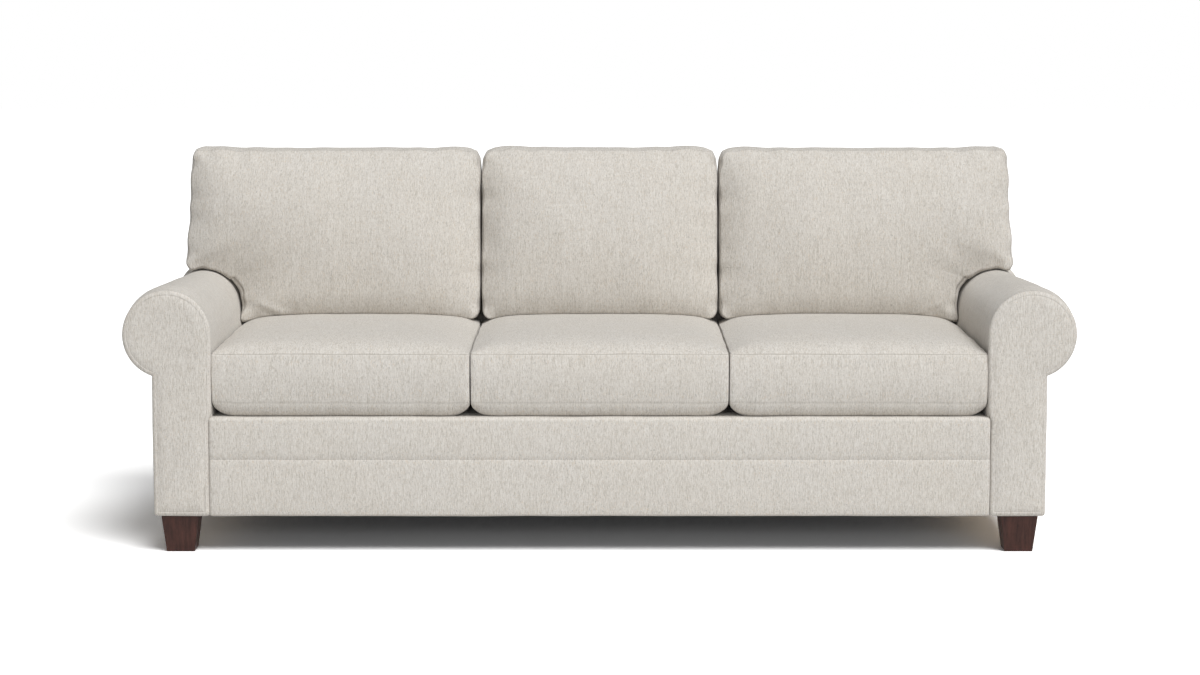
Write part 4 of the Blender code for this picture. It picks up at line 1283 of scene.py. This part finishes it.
def crease(bm, start, end, height, side):
    """A short fold across a front panel: a soft ridge with a sharper valley under it."""
    start, end = (Vector((side * across, up)) for across, up in (start, end))
    run = (end - start).normalized()
    under = Vector((run.y, -run.x)) if run.cross(Vector((0, 1))) * side < 0 else Vector((-run.y, run.x))
    if under.y > 0:
        under = -under
    length = (end - start).length
    flat = bm.verts.layers.float_vector["flat"]
    for vertex in bm.verts:
        if vertex[flat][2] > 0:
            place = Vector((vertex.co.x, vertex.co.z)) - start
            along, below = place.dot(run) / length, place.dot(under)
            if -FOLD_OVERRUN < along < 1 + FOLD_OVERRUN:
                fade = math.cos(math.pi * (along - 0.5) / (1 + 2 * FOLD_OVERRUN)) ** 2
                ridge = math.exp(-((below / FOLD_RIDGE_WIDTH) ** 2))
                valley = math.exp(-(((below - FOLD_VALLEY_DROP) / FOLD_VALLEY_WIDTH) ** 2))
                vertex.co.y -= height * (ridge - FOLD_VALLEY_SHARE * valley) * fade


def surface_of(piece):
    """A piece's surface, to measure from."""
    bm = bmesh.new()
    bm.from_mesh(piece.data)
    made = BVHTree.FromBMesh(bm)
    bm.free()
    return made


def hug(vertex, arm):
    """Brings a place near an arm closer to it, and one inside it out of it."""
    surface, way_out, _, gap = arm.find_nearest(vertex.co)
    away = vertex.co - surface
    if gap > ARM_HUG:
        return
    if away.dot(way_out) < 0:
        vertex.co = surface + way_out * ARM_CLEARANCE
    else:
        over = max(gap - ARM_CLEARANCE, 0)
        kept = ARM_CLEARANCE + over**3 / (ARM_HUG - ARM_CLEARANCE) ** 2
        vertex.co = surface + away.normalized() * kept


back_cages, back_rims = {}, {}
for name, side in SEATS.items():
    low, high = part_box("back_cushion_" + name)
    foot, top = BACK_FOOT, high.z
    shoulder = arm_high.z - EAR_DROP
    inner_wall = arm_low.x - ARM_CLEARANCE
    if side:
        inner, outer = sorted((side * low.x, side * high.x))
        columns = stations(inner, inner_wall)[:-1] + stations(inner_wall, outer)
        columns = sorted(side * place for place in columns)
        rows = stations(foot, shoulder)[:-1] + stations(shoulder, top)
        corners = [(inner, foot), (inner_wall, foot), (inner_wall, shoulder)]
        corners += [(outer, shoulder), (outer, top), (inner, top)]
        if side < 0:
            corners = [(-across, up) for across, up in reversed(corners)]
    else:
        columns = stations(low.x, high.x)
        rows = stations(foot, top)
        corners = [(low.x, foot), (high.x, foot), (high.x, top), (low.x, top)]
    back_rims[name] = Rim(corners)
    cage = cushion_cage(
        "back_cage_" + name,
        columns,
        rows,
        lambda place: abs(place.x) > inner_wall and place.y < shoulder,
        back_rims[name],
        back_form,
        side * 5.7 + 11.3,
    )
    if side:
        for vertex in cage.data.vertices:
            moved = round_the_roll(Vector(vertex.co[:2]), side)
            vertex.co.x, vertex.co.y = moved
    back_cages[name] = cage
fill_cushions(list(back_cages.values()), pressure=2.6, stiffness=18.0, outline_cap=BACK_OUTLINE_CAP)

upright = Matrix.Rotation(math.radians(90), 4, "X")
for name, cage in back_cages.items():
    side = SEATS[name]
    low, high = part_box("back_cushion_" + name)
    half = BACK_THICKNESS / 2
    wide = [low.x - (BACK_PRESSED if side >= 0 else 0), high.x + (BACK_PRESSED if side <= 0 else 0)]
    seams = [BACK_REAR_CROWN - half, BACK_REAR_CROWN - half + BACK_BAND]
    fit_cage(cage, (wide[0], BACK_FOOT, -half), (wide[1], high.z, half), seams, back_form)
    bm = smoothed(cage)
    ripples = (BACK_PUCKER, BACK_PUCKER_WAVE, BACK_PUCKER_REACH, BACK_PUCKER_TURN)
    pucker(bm, back_rims[name], BACK_BAND, *ripples)
    for vertex in bm.verts:
        ear = puff(max(side * vertex.co.x - inner_wall, 0), EAR_FLARE_REACH)
        drop = clamp((high.z - vertex.co.y) / (high.z - shoulder))
        vertex.co.x += side * EAR_FLARE * ear * drop**EAR_FLARE_POWER
    middle = (low.x + high.x) / 2
    bmesh.ops.translate(bm, vec=(-middle, 0, 0), verts=bm.verts)
    for way in (-1, 1):
        if way != side:
            press_flat(bm, 0, way * ((high.x - low.x) / 2 + NEIGHBOUR_GAP))
    bmesh.ops.translate(bm, vec=(middle, 0, 0), verts=bm.verts)
    sew_cushion(bm, CUSHION_SEAM)
    for vertex in bm.verts:
        rumple(vertex, *BACK_RUMPLE)
    bmesh.ops.transform(bm, matrix=upright, verts=bm.verts)
    slope = math.tan(BACK_RECLINE)
    for vertex in bm.verts:
        vertex.co.y += (vertex.co.z - BACK_FOOT) * slope
    shift = high.y - max(vertex.co.y for vertex in bm.verts)
    bmesh.ops.translate(bm, vec=(0, shift, 0), verts=bm.verts)
    if side:
        crease(bm, *FOLD, FOLD_HEIGHT if side < 0 else FOLD_HEIGHT / 3, side)
    seat = surface_of(seat_cushions[name])
    arm = surface_of(arm_pads[side]) if side else None
    for vertex in bm.verts:
        if vertex.co.z < BACK_FOOT + BACK_SAG:
            above = Vector((vertex.co.x, vertex.co.y, BACK_FOOT + SAG_PROBE))
            place, _, _, _ = seat.ray_cast(above, (0, 0, -1))
            if place:
                vertex.co.z = max(vertex.co.z, place.z + REST_GAP)
        beside_arm = side * vertex.co.x > arm_low.x - 2 * ARM_HUG
        if side and beside_arm and vertex.co.z < arm_high.z + 2 * ARM_HUG:
            hug(vertex, arm)
    cushion = keep("back_cushion_cover_" + name, bm, weave)
    settle(cushion, "back_cushion_" + name, body="back_" + name)


# Studio. A white floor that keeps the sofa's shadow, a white surround, a soft sun from the
# right and above, a low wide softbox in front, and the camera at the photograph's place.
FLOOR_SIZE = 60.0
CAMERA_PLACE = (0.001, -7.4815, 1.327)
CAMERA_PITCH = math.radians(83.5)
LENS = 87.4
SURROUND_LIGHT = 0.22
FLOOR_SEEN = (1.5, 1.5, 1.5, 1)
FLOOR_LIT = (0.62, 0.62, 0.62, 1)
KEY_AZIMUTH = math.radians(34)
KEY_HEIGHT = math.radians(56)
KEY_SPREAD = math.radians(35)
KEY_STRENGTH = 2.65
KEY_PLACE = (3.0, -5.0, 6.0)
SOFTBOX_PLACE = (0.7, -4.6, 0.9)
SOFTBOX_SIZE = (5.0, 1.4)
SOFTBOX_POWER = 52.0
SOFTBOX_AIM = Vector((0, 0, 0.45))


def seen_directly(owner):
    """1 for the camera's own rays and for glossy and transmitted ones, and 0 for the rest."""
    rays = add_node(owner, "LightPath").outputs
    seen = rays["Is Camera Ray"]
    for ray in ("Is Glossy Ray", "Is Transmission Ray"):
        seen = maths(owner, "MAXIMUM", seen, rays[ray])
    return seen


bm = bmesh.new()
bmesh.ops.create_grid(bm, x_segments=6, y_segments=6, size=FLOOR_SIZE / 2)
floor_finish = new_material("studio_floor", 1.0)
colour = mixed(floor_finish, seen_directly(floor_finish), FLOOR_LIT, FLOOR_SEEN)
diffuse = add_node(floor_finish, "BsdfDiffuse", {"Color": colour}).outputs[0]
tree = floor_finish.node_tree
tree.links.new(diffuse, tree.nodes["Material Output"].inputs["Surface"])
floor = keep("studio_floor", bm, floor_finish, smooth=False)

world = bpy.data.worlds.new("surround")
bpy.context.scene.world = world
world.use_nodes = True
surround = world.node_tree.nodes["Background"]
feeds = {"Value": seen_directly(world), "To Min": SURROUND_LIGHT, "To Max": 1.0}
strength = add_node(world, "MapRange", feeds).outputs[0]
world.node_tree.links.new(strength, surround.inputs["Strength"])
surround.inputs["Color"].default_value = (1, 1, 1, 1)

lamp = bpy.data.lights.new("key_lamp", "SUN")
lamp.angle = KEY_SPREAD
lamp.energy = KEY_STRENGTH
key = put("key_lamp", lamp)
key.location = KEY_PLACE
key.rotation_euler = (math.pi / 2 - KEY_HEIGHT, 0, KEY_AZIMUTH)

lamp = bpy.data.lights.new("softbox", "AREA")
lamp.shape = "RECTANGLE"
lamp.size, lamp.size_y = SOFTBOX_SIZE
lamp.energy = SOFTBOX_POWER
softbox = put("softbox", lamp)
softbox.location = SOFTBOX_PLACE
softbox.rotation_euler = (SOFTBOX_AIM - softbox.location).to_track_quat("-Z", "Y").to_euler()

camera = put("camera", bpy.data.cameras.new("camera"))
camera.location = CAMERA_PLACE
camera.rotation_euler = (CAMERA_PITCH, 0, 0)
camera.data.lens = LENS
bpy.context.scene.camera = camera
bpy.context.scene.view_settings.view_transform = "Standard"
